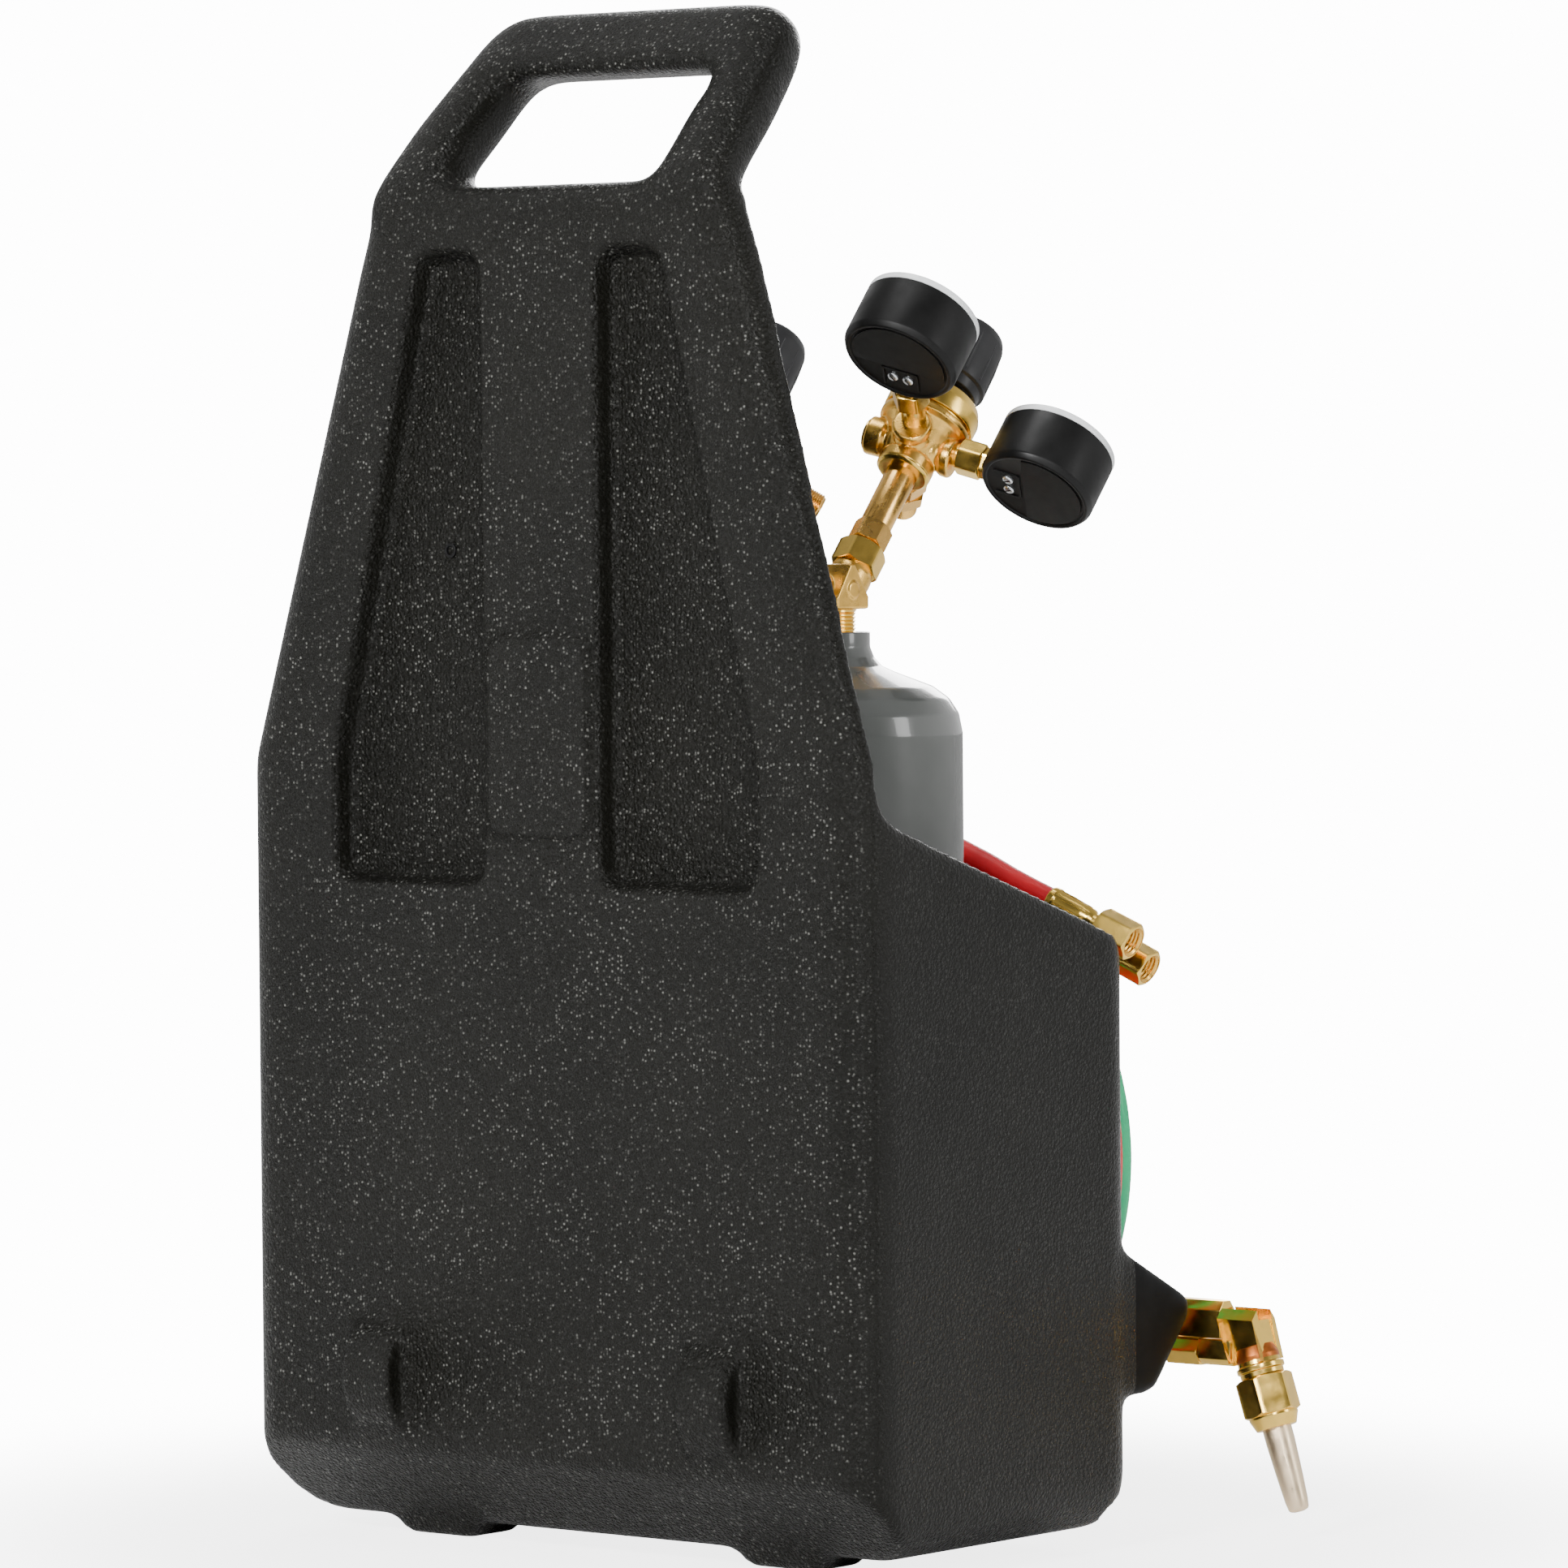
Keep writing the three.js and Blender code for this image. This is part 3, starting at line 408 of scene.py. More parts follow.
class Shape:
    """Closed shells in millimetres, each with its own material number."""

    def __init__(self):
        self.verts, self.faces, self.looks = [], [], []

    def add(self, verts, faces, matrix=None, look=0):
        base = len(self.verts)
        matrix = matrix or Matrix.Identity(4)
        self.verts += [matrix @ Vector(v) for v in verts]
        self.faces += [[base + i for i in face] for face in faces]
        self.looks += [look] * len(faces)
        return self

    def rows(self, rows, matrix=None, look=0, closed=False):
        """A skin over rings of points that all have the same count; a ring of one point is a pole."""
        verts, starts = [], []
        for row in rows:
            starts.append(len(verts))
            verts += row
        faces = []
        pairs = list(range(len(rows) - 1)) + ([len(rows) - 1] if closed else [])
        for r in pairs:
            lower, upper = rows[r], rows[(r + 1) % len(rows)]
            a, b = starts[r], starts[(r + 1) % len(rows)]
            count = max(len(lower), len(upper))
            for i in range(count):
                j = (i + 1) % count
                if len(lower) == 1:
                    faces.append([a, b + j, b + i])
                elif len(upper) == 1:
                    faces.append([a + i, a + j, b])
                else:
                    faces.append([a + i, a + j, b + j, b + i])
        return self.add(verts, faces, matrix, look)

    def lathe(self, profile, matrix=None, segments=48, soft=0.5, look=0, closed=False):
        """A turned solid from (radius, height) pairs; closed joins the profile's ends."""
        path = rounded_path(profile, soft, closed=closed)
        rows = []
        for radius, height in path:
            if radius < 1e-6:
                rows.append([(0, 0, height)])
            else:
                rows.append(ring(lambda _, r=radius: r, height, segments))
        return self.rows(rows, matrix, look, closed)

    def rod(self, radius, low, high, matrix=None, soft=0.5):
        return self.lathe([(0, low), (radius, low), (radius, high), (0, high)], matrix, 32, soft)

    def nut(self, flats, low, high, matrix=None, bore=0.0, turn=0.0, look=0):
        """A chamfered hexagon, drilled through when bore is given."""
        count = 72
        half = flats / 2
        face_radius, corner_radius = half * 0.965, half * 1.135
        sixth = math.radians(60)
        outer = []
        for i in range(count):
            angle = 2 * math.pi * i / count
            in_side = (angle + sixth / 2) % sixth - sixth / 2
            outer.append((angle + turn, min(half / math.cos(in_side), corner_radius)))

        def circle(radius, height):
            return [(radius * math.cos(a), radius * math.sin(a), height) for a, _ in outer]

        def hexagon(height, sign):
            return [(r * math.cos(a), r * math.sin(a), height + sign * (r - face_radius) * 0.6)
                    for a, r in outer]

        rows = [circle(face_radius, low), hexagon(low, 1), hexagon(high, -1),
                circle(face_radius, high)]
        if bore:
            rows = [circle(bore, low)] + rows + [circle(bore, high)]
        else:
            rows = [[(0, 0, low)]] + rows + [[(0, 0, high)]]
        return self.rows(rows, matrix, look, closed=bool(bore))

    def thread(self, radius, low, high, pitch, depth, matrix=None, inner=0.0, look=0):
        """A ridged rod; with inner given it is the ridged wall of a hole instead."""
        profile = [(inner or 0, low)]
        turns = max(1, round((high - low) / pitch))
        step = (high - low) / turns
        for i in range(turns):
            profile += [(radius - depth, low + i * step), (radius, low + (i + 0.5) * step)]
        profile += [(radius - depth, high), (inner or 0, high)]
        return self.lathe(profile, matrix, 40, 0, look, closed=bool(inner))

    def prism(self, outline, low, high, matrix=None, bevel=0.6, look=0):
        """An outline extruded along Z, with bevelled edges."""
        mesh = bmesh.new()
        bottom = [mesh.verts.new((x, y, low)) for x, y in outline]
        face = mesh.faces.new(bottom)
        grown = bmesh.ops.extrude_face_region(mesh, geom=[face])
        top = [v for v in grown["geom"] if isinstance(v, bmesh.types.BMVert)]
        bmesh.ops.translate(mesh, verts=top, vec=(0, 0, high - low))
        bmesh.ops.recalc_face_normals(mesh, faces=mesh.faces)
        if bevel:
            edges = [e for e in mesh.edges if e.calc_face_angle(0) > math.radians(25)]
            bmesh.ops.bevel(mesh, geom=edges, offset=bevel, segments=2, profile=0.5,
                            affect="EDGES", clamp_overlap=True)
        mesh.verts.ensure_lookup_table()
        verts = [tuple(v.co) for v in mesh.verts]
        faces = [[v.index for v in f.verts] for f in mesh.faces]
        mesh.free()
        return self.add(verts, faces, matrix, look)

    def block(self, low, high, matrix=None, bevel=0.6, look=0):
        corners = [(low[0], low[1]), (high[0], low[1]), (high[0], high[1]), (low[0], high[1])]
        return self.prism(corners, low[2], high[2], matrix, bevel, look)

    def sweep(self, points, radius, segments=12):
        """A round wire along points, with closed ends."""
        path = [Vector(p) for p in points]
        rows = []
        across = None
        for i, point in enumerate(path):
            before = path[i - 1] if i else point
            after = path[i + 1] if i < len(path) - 1 else point
            ahead = (after - before).normalized()
            across = ahead.orthogonal() if across is None else across - ahead * across.dot(ahead)
            across.normalize()
            other = ahead.cross(across)
            rows.append([
                tuple(point + (across * math.cos(a) + other * math.sin(a)) * radius)
                for a in (2 * math.pi * k / segments for k in range(segments))
            ])
        return self.rows([[tuple(path[0])]] + rows + [[tuple(path[-1])]])

    def mesh(self, name, materials, sharp=35):
        data = bpy.data.meshes.new(name)
        data.from_pydata([tuple(placed(v)) for v in self.verts], [], self.faces)
        for material in materials:
            data.materials.append(material)
        for polygon, look in zip(data.polygons, self.looks):
            polygon.material_index = look
        fixed = bmesh.new()
        fixed.from_mesh(data)
        bmesh.ops.recalc_face_normals(fixed, faces=fixed.faces)
        fixed.to_mesh(data)
        fixed.free()
        data.shade_smooth()
        data.set_sharp_from_angle(angle=math.radians(sharp))
        return data


def add_piece(name, data, body, replaced=()):
    piece = bpy.data.objects.new(name, data)
    bpy.context.scene.collection.objects.link(piece)
    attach(piece, body)
    if replaced:
        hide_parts(*replaced)
    return piece


def piece(name, shape, materials, body, slot, *replaced, sharp=35):
    materials = materials if isinstance(materials, (list, tuple)) else [materials]
    return add_piece(name, shape.mesh(name, materials, sharp), body, replaced)


def melted(data, voxel, rounds):
    """The same closed shells joined into one skin with soft inside corners, as a casting has."""
    temporary = bpy.data.objects.new("melting", data)
    bpy.context.scene.collection.objects.link(temporary)
    remesh = temporary.modifiers.new("remesh", "REMESH")
    remesh.mode = "VOXEL"
    remesh.voxel_size = voxel * MM
    smooth = temporary.modifiers.new("smooth", "SMOOTH")
    smooth.iterations = rounds
    smooth.factor = 0.5
    result = bpy.data.meshes.new_from_object(
        temporary.evaluated_get(bpy.context.evaluated_depsgraph_get()))
    bpy.data.objects.remove(temporary)
    result.materials.clear()
    result.shade_smooth()
    return result


def cast_piece(name, shape, material, body, slot, *replaced, voxel=0.6, rounds=4):
    data = melted(shape.mesh(name + "_rough", []), voxel, rounds)
    data.name = name
    data.materials.append(material)
    return add_piece(name, data, body, replaced)


# ---- the tote ----


def relaxed(points, edges, counts, weight, rounds):
    """Each point moved part of the way to the middle of its neighbours, again and again."""
    share = 0.5 * weight[:, None]
    for _ in range(rounds):
        total = np.empty_like(points)
        for axis in range(3):
            column = points[:, axis]
            total[:, axis] = (
                np.bincount(edges[:, 0], weights=column[edges[:, 1]], minlength=len(points))
                + np.bincount(edges[:, 1], weights=column[edges[:, 0]], minlength=len(points)))
        points = points + share * (total / counts[:, None] - points)
    return points


def ramped(values, low, high):
    return np.clip((values - low) / (high - low), 0.0, 1.0)


def smooth_step(values, low, high):
    share = ramped(values, low, high)
    return share * share * (3 - 2 * share)


def stamped_depth(across, depth, height):
    """How far to move the back's skin in Y, so that the recesses are deeper and the pad prouder."""
    # each recess is widest below 372 and narrows by 55 over the 234 above that
    recess_inner, recess_outer, recess_low, recess_high = 30, 133, 305, 614
    narrowed = recess_outer - np.clip(height - 372, 0, None) * 55 / 234
    in_recess = ((across > recess_inner) * (across < narrowed)
                 * (height > recess_low) * (height < recess_high))
    sunk = (TOTE_BACK - depth) * in_recess * (depth > TOTE_BACK - 12)
    on_pad = (across < 34) * (height > 330) * (height < 434) * (depth > TOTE_BACK - 1)
    proud = (depth - TOTE_BACK) * on_pad
    new_sunk = RECESS_DEPTH * smooth_step(sunk, 0.5, 6.6)
    new_proud = PAD_HEIGHT * smooth_step(proud, 0.3, 1.5)
    return (new_proud - proud) * on_pad - (new_sunk - sunk) * (sunk != 0)


def build_tote():
    rough = NODES["carrier_case"].data.copy()
    rough.materials.clear()
    data = melted(rough, 2.5, 0)
    data.name = "tote_shell"
    count = len(data.vertices)
    points = np.empty(count * 3)
    data.vertices.foreach_get("co", points)
    points = points.reshape(-1, 3) / MM - np.array(ORIGIN_SHIFT)
    normals = np.empty(count * 3)
    data.vertices.foreach_get("normal", normals)
    normals = normals.reshape(-1, 3)
    edges = np.empty(len(data.edges) * 2, dtype=np.int64)
    data.edges.foreach_get("vertices", edges)
    edges = edges.reshape(-1, 2)
    counts = np.bincount(edges.ravel(), minlength=count).astype(float)
    across, depth, height = points.T
    across = across - TOTE_X
    # the blow-moulded handle is round in section, so it is swollen and then relaxed for longer
    on_handle = ramped(height, 600, 640)
    swell = 3.0 * on_handle * ramped(height, 640, 665)
    points = points + normals * swell[:, None]
    points = relaxed(points, edges, counts, on_handle, 46)
    slab_edge = ramped(height, 345, 372) * ramped(-depth, -84, -78) * (1 - on_handle)
    points = relaxed(points, edges, counts, slab_edge, 22)
    on_lug = (abs(abs(across) - 102) < 20) * (depth > TOTE_BACK - 1) * (height < 122)
    points = relaxed(points, edges, counts, 1 - 0.8 * on_lug, 9)
    points[:, 1] += stamped_depth(abs(across), points[:, 1], points[:, 2])
    points = (points + np.array(ORIGIN_SHIFT)) * MM
    data.vertices.foreach_set("co", points.ravel())
    data.materials.append(POLYETHYLENE)
    data.materials.append(RACK_BLACK)
    rack_edge = placed((0, TOTE_FRONT - 1.5, 0)).y
    looks = [1 if face.center.y < rack_edge else 0 for face in data.polygons]
    data.polygons.foreach_set("material_index", looks)
    data.update()
    add_piece("tote_shell", data, "carrier", ["carrier_case"])
    # a near-black cup in the vent hole is painted shade for the hole's dark inside
    vent = aimed((TOTE_X + 63, TOTE_BACK - RECESS_DEPTH, 468), (0, 1, 0))
    plug = Shape().lathe([(0, -2), (3.4, -2), (3.4, 1.1), (2.2, 1.3), (1.8, -0.9), (0, -0.9)], vent,
                         soft=0.3)
    piece("vent_hole_shade_cup", plug, BLACK, "carrier", "tote_polyethylene")


# ---- cylinders ----


def build_cylinder(gas, x, y, radius, **_):
    body = f"{gas}_set"
    neck, top, base, wall, shoulder = 19.4, 429, 26.5, 4.5, 388
    outside = [
        (0, base + 9, 0), (radius - 22, base + 5, 6), (radius - 14, base, 3), (radius - 7, base, 5),
        (radius, base + 12.5, 12), (radius, shoulder - 6, 10), (radius - 1.7, shoulder + 3, 6),
        (radius - 6.2, shoulder + 10, 8), (radius - 13.8, shoulder + 15.6, 8),
        (neck + 11, shoulder + 22.4, 6), (neck + 5.4, shoulder + 25, 4), (neck + 1.8, shoulder + 29, 4),
        (neck - 0.1, shoulder + 34, 3), (neck - 0.1, top, 0.8), (13.6, top, 0.6),
        (13.6, top - 24, 0), (radius - 18, shoulder + 6, 0), (radius - wall, shoulder - 14, 0),
        (radius - wall, base + 20, 0), (0, base + 14, 0),
    ]
    shape = Shape().lathe(outside, aimed((x, y, 0), (0, 0, 1)), segments=96)
    piece(f"{gas}_cylinder_shell", shape, ENAMEL, body, "grey_enamel", f"{gas}_cylinder", sharp=50)


# ---- valves ----

FORWARD = Vector((0, -math.sin(VALVE_LEAN), math.cos(VALVE_LEAN)))
REARWARD = Vector((0, math.sin(VALVE_LEAN), math.cos(VALVE_LEAN)))


def build_valve(gas, x, y, **_):
    body = f"{gas}_set"
    origin = (x, y, VALVE_AXIS_Z)
    front_arm, back_arm = aimed(origin, FORWARD), aimed(origin, REARWARD)
    upright = aimed((x, y, 0), (0, 0, 1))
    forging = Shape()
    forging.block((-15, -12, 439.5), (15, 12, 446), upright, 1.2)
    wedge = [(-12, 444.5), (12, 444.5), (1.5, 460.5), (-1.5, 460.5)]
    forging.prism(wedge, -15, 15, Matrix.Translation((x, y, 0)) @ OUTLINE_IN_YZ, 0.5)
    forging.lathe([(0, 6), (9.4, 6), (10.4, 20), (10.4, 26), (9.4, 30), (0, 30)], front_arm)
    forging.lathe([(0, 6), (9.2, 6), (10.6, 16), (10.0, 29), (0, 29)], back_arm)
    forging.lathe([(0, 0), (4.2, 0), (4.2, 15.4), (3.4, 15.9), (0, 15.9)],
                  aimed((x, y, 448.5), (-1, 0, 0)))
    cast_piece(f"{gas}_valve_forging", forging, CAST_BRASS, body, "brass", voxel=0.45, rounds=2)
    threads = Shape()
    threads.thread(12.9, 428, 438.5, 1.7, 1.0, upright)
    threads.rod(12.2, 408, 440, upright)
    threads.thread(8.8, 27, 41, 1.3, 0.7, front_arm)
    piece(f"{gas}_valve_threads", threads, BRASS, body, "brass", f"{gas}_valve_body")
    packing = Shape().nut(20, 29.3, 35, back_arm).lathe(
        [(0, 34), (8.2, 34), (8, 37.6), (0, 38)], back_arm)
    piece(f"{gas}_packing_nut", packing, BRASS, body, "brass", f"{gas}_valve_packing_nut")
    build_handwheel(gas, back_arm)


def build_handwheel(gas, arm):
    wheel = Shape()
    rim = [(10.6, 44.6), (12.2, 43.4), (14.8, 43.8), (15.6, 46.4), (15.0, 49.4), (12.8, 50.6),
           (10.8, 49.4)]
    rows = [ring(lambda a, r=radius: r - grip_notch(a, r), height, 96)
            for radius, height in rounded_path(rim, 1.0, closed=True)]
    wheel.rows(rows, arm, closed=True)
    wheel.lathe([(0, 42.5), (7.4, 42.5), (7.0, 50), (5.4, 51.6), (0, 51.6)], arm, soft=1.2)
    for spoke in range(4):
        turn = spun(arm, math.pi / 2 * spoke)
        wheel.prism([(5.5, -2.6), (12.6, -2.0), (12.6, 2.0), (5.5, 2.6)], 45.2, 48.8, turn, 0.9)
    piece(f"{gas}_handwheel_casting", wheel, KNOB_BLACK, f"{gas}_handwheel", "black_plastic",
          f"{gas}_valve_handwheel")
    stem = Shape().rod(3, 38.3, 46, arm).nut(6.4, 51.2, 53.2, arm)
    piece(f"{gas}_valve_spindle", stem, BRASS, f"{gas}_handwheel", "brass")


def grip_notch(angle, radius):
    """How far the handwheel's eight grip notches cut into its rim."""
    return max(0.0, math.cos(8 * angle) - 0.55) * 2.6 if radius > 13 else 0.0


# ---- regulators ----


def regulator_frame(x, y):
    origin = Vector((x, y, VALVE_AXIS_Z)) + FORWARD * REGULATOR_REACH
    return aimed(origin, FORWARD, (1, 0, 0))


def port_direction(turn, outward):
    angle = math.radians(turn)
    return Vector((outward * math.cos(angle), math.sin(angle), 0))


def port_frame(centre, name, outward):
    """+Z runs out along a port, from the middle of the regulator's body."""
    return centre @ aimed((0, 0, -3), port_direction(PORTS[name][0], outward), (0, 0, 1))


def build_regulator(gas, x, y, outward, **_):
    body = f"{gas}_set"
    centre = regulator_frame(x, y)
    casting = Shape()
    casting.lathe([(0, -18), (12.6, -18), (13.4, -17), (13.4, -11.5), (11.4, -10), (13, -6.5),
                   (17, 2), (19.5, 6), (22.4, 7.5), (22.4, 10.4), (0, 10.4)], centre, soft=0.6)
    for name, (turn, _) in PORTS.items():
        port = port_frame(centre, name, outward)
        length = 20 if name in ("contents", "delivery") else 23.5
        casting.lathe([(0, 4), (9.6, 4), (9.0, 11), (7.6, 13), (9.2, 15.5), (9.4, length - 1),
                       (8.6, length), (0, length)], port, soft=1.0)
        casting.prism([(-3, 8), (7.5, 8), (12.5, 12), (12.5, 22), (-3, 10)],
                      -1.7, 1.7, centre @ rib_frame(turn, outward), 0.5)
    cast_piece(f"{gas}_regulator_casting", casting, CAST_BRASS, body, "brass",
               f"{gas}_regulator_body", voxel=0.5, rounds=2)

    trim = Shape()
    trim.lathe([(7.4, -19.0), (11.8, -19.0), (13.2, -17.8), (13.2, -12.6), (12.2, -11.8), (7.4, -11.8)],
               centre, soft=0.3, closed=True)
    trim.lathe([(0, 11), (21.2, 11), (21.2, 11.9), (0, 11.9)], centre, soft=0.1)
    plug = port_frame(centre, "relief", outward)
    trim.lathe([(0, 22), (7.4, 22), (7.4, 24.4), (6.6, 24.9), (3.2, 24.9), (3.2, 23.4), (0, 23.4)], plug,
               soft=0.3)
    piece(f"{gas}_regulator_trim", trim, BRASS, body, "brass")

    bonnet = Shape().lathe([
        (17.5, 12.2), (22.4, 12.2), (22.5, 20.5, 2.5), (20.6, 25.2, 3), (13.4, 29.2, 2), (6, 29.8),
        (6, 27), (14.6, 24.6, 2), (17.5, 20, 2)], centre, segments=72, soft=0.4, closed=True)
    piece(f"{gas}_bonnet_shell", bonnet, BRASS, body, "brass", f"{gas}_regulator_bonnet")

    knob = Shape().lathe([
        (0, 25), (4.6, 25), (4.6, 32.6), (13.6, 32.6), (13.6, 30.6), (16.6, 30.6), (16.9, 35.6),
        (18.6, 36.2), (18.3, 52, 0), (17.4, 62.5, 5), (15.6, 67.4, 4), (11, 68.4, 2), (0, 68.6)],
        centre, segments=72, soft=0.5)
    for i in range(12):
        turn = spun(centre, 2 * math.pi * i / 12)
        knob.sweep([turn @ Vector((18.1, 0, 38.5)), turn @ Vector((17.9, 0, 50)),
                    turn @ Vector((17.0, 0, 60))], 0.75, 8)
    piece(f"{gas}_pressure_knob", knob, KNOB_BLACK, f"{gas}_knob", "black_plastic",
          f"{gas}_regulator_knob")
    screw = Shape().thread(4.5, 24.9, 33, 1.3, 0.6, centre)
    piece(f"{gas}_pressure_screw", screw, BRASS, f"{gas}_knob", "brass")

    nut = Shape().nut(21, -77, -64, centre, turn=0.35)
    nut.lathe([(0, -64.4), (8.6, -64.4), (8.2, -62.6), (0, -62.6)], centre)
    piece(f"{gas}_coupling_nut", nut, BRASS, body, "brass", f"{gas}_inlet_nut")
    stem = Shape().nut(16.5, -62.3, -51, centre, turn=0.1)
    stem.lathe([(0, -52), (7.6, -52), (7.6, -18.4), (0, -18.4)], centre, segments=56)
    piece(f"{gas}_inlet_tube", stem, TUBE_BRASS, body, "brass", f"{gas}_inlet_stem")

    way = port_frame(centre, "outlet", outward)
    outlet = Shape().nut(17, 25.3, 34, way).rod(6.6, 33, 37, way).nut(17, 36, 44.6, way, turn=0.3)
    outlet.thread(7, 44.4, 56, 1.2, 0.55, way, inner=3.2)
    outlet.lathe([(3.2, 54), (6.2, 54), (6.0, 57), (3.8, 57)], way, soft=0.3, closed=True)
    piece(f"{gas}_hose_outlet", outlet, TUBE_BRASS, body, "brass", f"{gas}_regulator_outlet")

    coil = Shape()
    turns, per_turn = 3.5, 24
    count = round(turns * per_turn)
    coil.sweep([
        centre @ Vector((10.5 * math.cos(2 * math.pi * i / per_turn),
                         10.5 * math.sin(2 * math.pi * i / per_turn), 14.3 + 9 * i / count))
        for i in range(count + 1)], 0.9, 8)
    piece(f"{gas}_spring_wire", coil, STEEL, body, "steel", f"{gas}_regulator_spring")

    for use in ("contents", "delivery"):
        build_gauge(gas, use, centre, outward)


def rib_frame(turn, outward):
    """Local x runs up towards the bonnet and local y out along a port."""
    out = port_direction(turn, outward)
    up = Vector((0, 0, 1))
    side = out.cross(up)
    return Matrix((up, out, side)).transposed().to_4x4()


SCALES = {
    ("oxygen", "contents"): (("0", "1000", "2000", "3000", "4000"), None),
    ("oxygen", "delivery"): (("0", "25", "50", "75", "100"), None),
    ("acetylene", "contents"): (("0", "100", "200", "300", "400"), None),
    ("acetylene", "delivery"): (("0", "5", "10", "20", "30"), (0.62, 1.0)),
}


def dial_angle(share):
    """The needle's direction at a share of full scale, from the dial's right-hand side."""
    return math.radians(225 - 270 * share)


def numeral(text, size, matrix, shape, look):
    curve = bpy.data.curves.new("numeral", "FONT")
    curve.body = text
    curve.size = size
    curve.align_x = "CENTER"
    curve.align_y = "CENTER"
    holder = bpy.data.objects.new("numeral", curve)
    bpy.context.scene.collection.objects.link(holder)
    bpy.context.view_layer.update()
    flat = bpy.data.meshes.new_from_object(holder.evaluated_get(bpy.context.evaluated_depsgraph_get()))
    bpy.data.objects.remove(holder)
    shape.add([tuple(v.co) for v in flat.vertices], [list(p.vertices) for p in flat.polygons],
              matrix, look)
    bpy.data.meshes.remove(flat)


def build_gauge(gas, use, centre, outward):
    body = f"{gas}_set"
    turn, reach = PORTS[use]
    out = port_direction(turn, outward)
    middle = centre @ Matrix.Translation(out * reach)
    case = Shape()
    radius, rear, front = GAUGE_RADIUS, GAUGE_REAR, GAUGE_FRONT
    case.lathe([
        (0, rear + 0.9, 0), (24.3, rear + 0.9, 0.2), (24.9, rear + 0.2, 0.4), (radius - 1.7, rear, 1.4),
        (radius, rear + 2.8, 2.4), (radius, front, 0.3), (radius - 2, front, 0.3), (radius - 2, GAUGE_DIAL),
        (0, GAUGE_DIAL)], middle, segments=96, soft=0.3)
    # the cover: a large segment away from the stem and a small pocket near it
    towards = middle @ aimed((0, 0, rear + 1.0), (0, 0, -1), -out)
    segment_edge = math.acos(5.5 / 23.2)
    steps = 28
    segment = [
        (23.2 * math.cos(a), 23.2 * math.sin(a))
        for a in (segment_edge + (2 * math.pi - 2 * segment_edge) * i / steps for i in range(steps + 1))]
    case.prism(segment, -0.4, 0.8, towards, 0)
    case.block((7.4, -9, -0.4), (8.5, 9, 0.6), towards, 0)
    for low in (-9, 8):
        case.block((7.4, low, -0.4), (20.5, low + 1, 0.6), towards, 0)
    # square shank and boss of the connection
    stem = centre @ aimed((0, 0, 0), out, (0, 0, 1))
    case.nut(13.4, reach - radius - 5, reach - radius + 3, stem, look=1)
    piece(f"{gas}_{use}_gauge_shell", case, [BLACK, BRASS], body, "black_plastic",
          f"{gas}_{use}_gauge_case")
    socket = Shape().rod(5.8, 19.5, reach - radius, stem)
    socket.nut(15.5, reach - radius - 13, reach - radius - 1, stem, turn=0.2)
    piece(f"{gas}_{use}_gauge_socket", socket, BRASS, body, "brass")
    screws = Shape()
    for offset in (-3.8, 3.8):
        head = towards @ Matrix.Translation((13.4, offset, 0))
        screws.lathe([(0, -0.3), (2.6, -0.3), (2.6, 0.9), (1.9, 1.5), (0, 1.6)], head, 24, 0.3)
        # a thin black bar across each head is painted shade standing in for its screw slot
        screws.block((-1.8, -0.28, 1.3), (1.8, 0.28, 1.75), spun(head, 0.6), 0.05, look=1)
    piece(f"{gas}_{use}_gauge_screws", screws, [ZINC, BLACK], body, "steel")

    dial = Shape()
    face = GAUGE_DIAL + 0.3
    dial.lathe([(0, face), (radius - 2.4, face), (radius - 2.4, face + 0.5), (0, face + 0.5)], middle,
               64, 0.1)
    labels, red_band = SCALES[gas, use]
    ticks = 40
    for i in range(ticks + 1):
        major = i % 10 == 0
        a = dial_angle(i / ticks)
        length, width = (3.4, 0.5) if major else (2.0, 0.22)
        dial.block((23.4 - length, -width, face + 0.5), (23.4, width, face + 0.62), spun(middle, a), 0, 1)
    for i, label in enumerate(labels):
        a = dial_angle(i / (len(labels) - 1))
        where = middle @ Matrix.Translation((16.4 * math.cos(a), 16.4 * math.sin(a), face + 0.6))
        numeral(label, 3.6 if len(label) > 3 else 4.2, where, dial, 1)
    if red_band:
        low, high = (dial_angle(share) for share in red_band)
        steps = 24
        arc = [low + (high - low) * i / steps for i in range(steps + 1)]
        outline = [(24.9 * math.cos(a), 24.9 * math.sin(a)) for a in arc]
        outline += [(23.9 * math.cos(a), 23.9 * math.sin(a)) for a in reversed(arc)]
        dial.prism(outline, face + 0.5, face + 0.6, middle, 0, 2)
    dial.lathe([(radius - 3.6, front - 2.5), (radius - 2.15, front - 2.5), (radius - 2.15, front + 1.3),
                (radius - 3.6, front + 1.3)], middle, 64, 0.1, closed=True)
    piece(f"{gas}_{use}_dial", dial, [DIAL, INK, RED_INK], body, "black_plastic")

    # the rim's pale colour is painted highlight on the clear lens's edge
    rim = Shape().lathe([
        (radius - 2.2, front + 0.2), (radius, front + 0.2), (radius, front + 3.2, 1.0),
        (radius - 1.2, front + 4.0, 0.8), (radius - 2.2, front + 3.6)], middle, 96, 0.3, closed=True)
    piece(f"{gas}_{use}_lens_rim", rim, LENS_RIM_HIGHLIGHT, body, "clear_lens")
    lens = Shape().lathe([
        (0, front + 3.0), (radius - 6, front + 2.6, 4), (radius - 2.3, front + 1.6),
        (radius - 2.3, front + 3.4), (radius - 6, front + 4.1, 4), (0, front + 4.5)], middle, 96, 0)
    piece(f"{gas}_{use}_lens_dome", lens, LENS, body, "clear_lens", f"{gas}_{use}_gauge_lens")

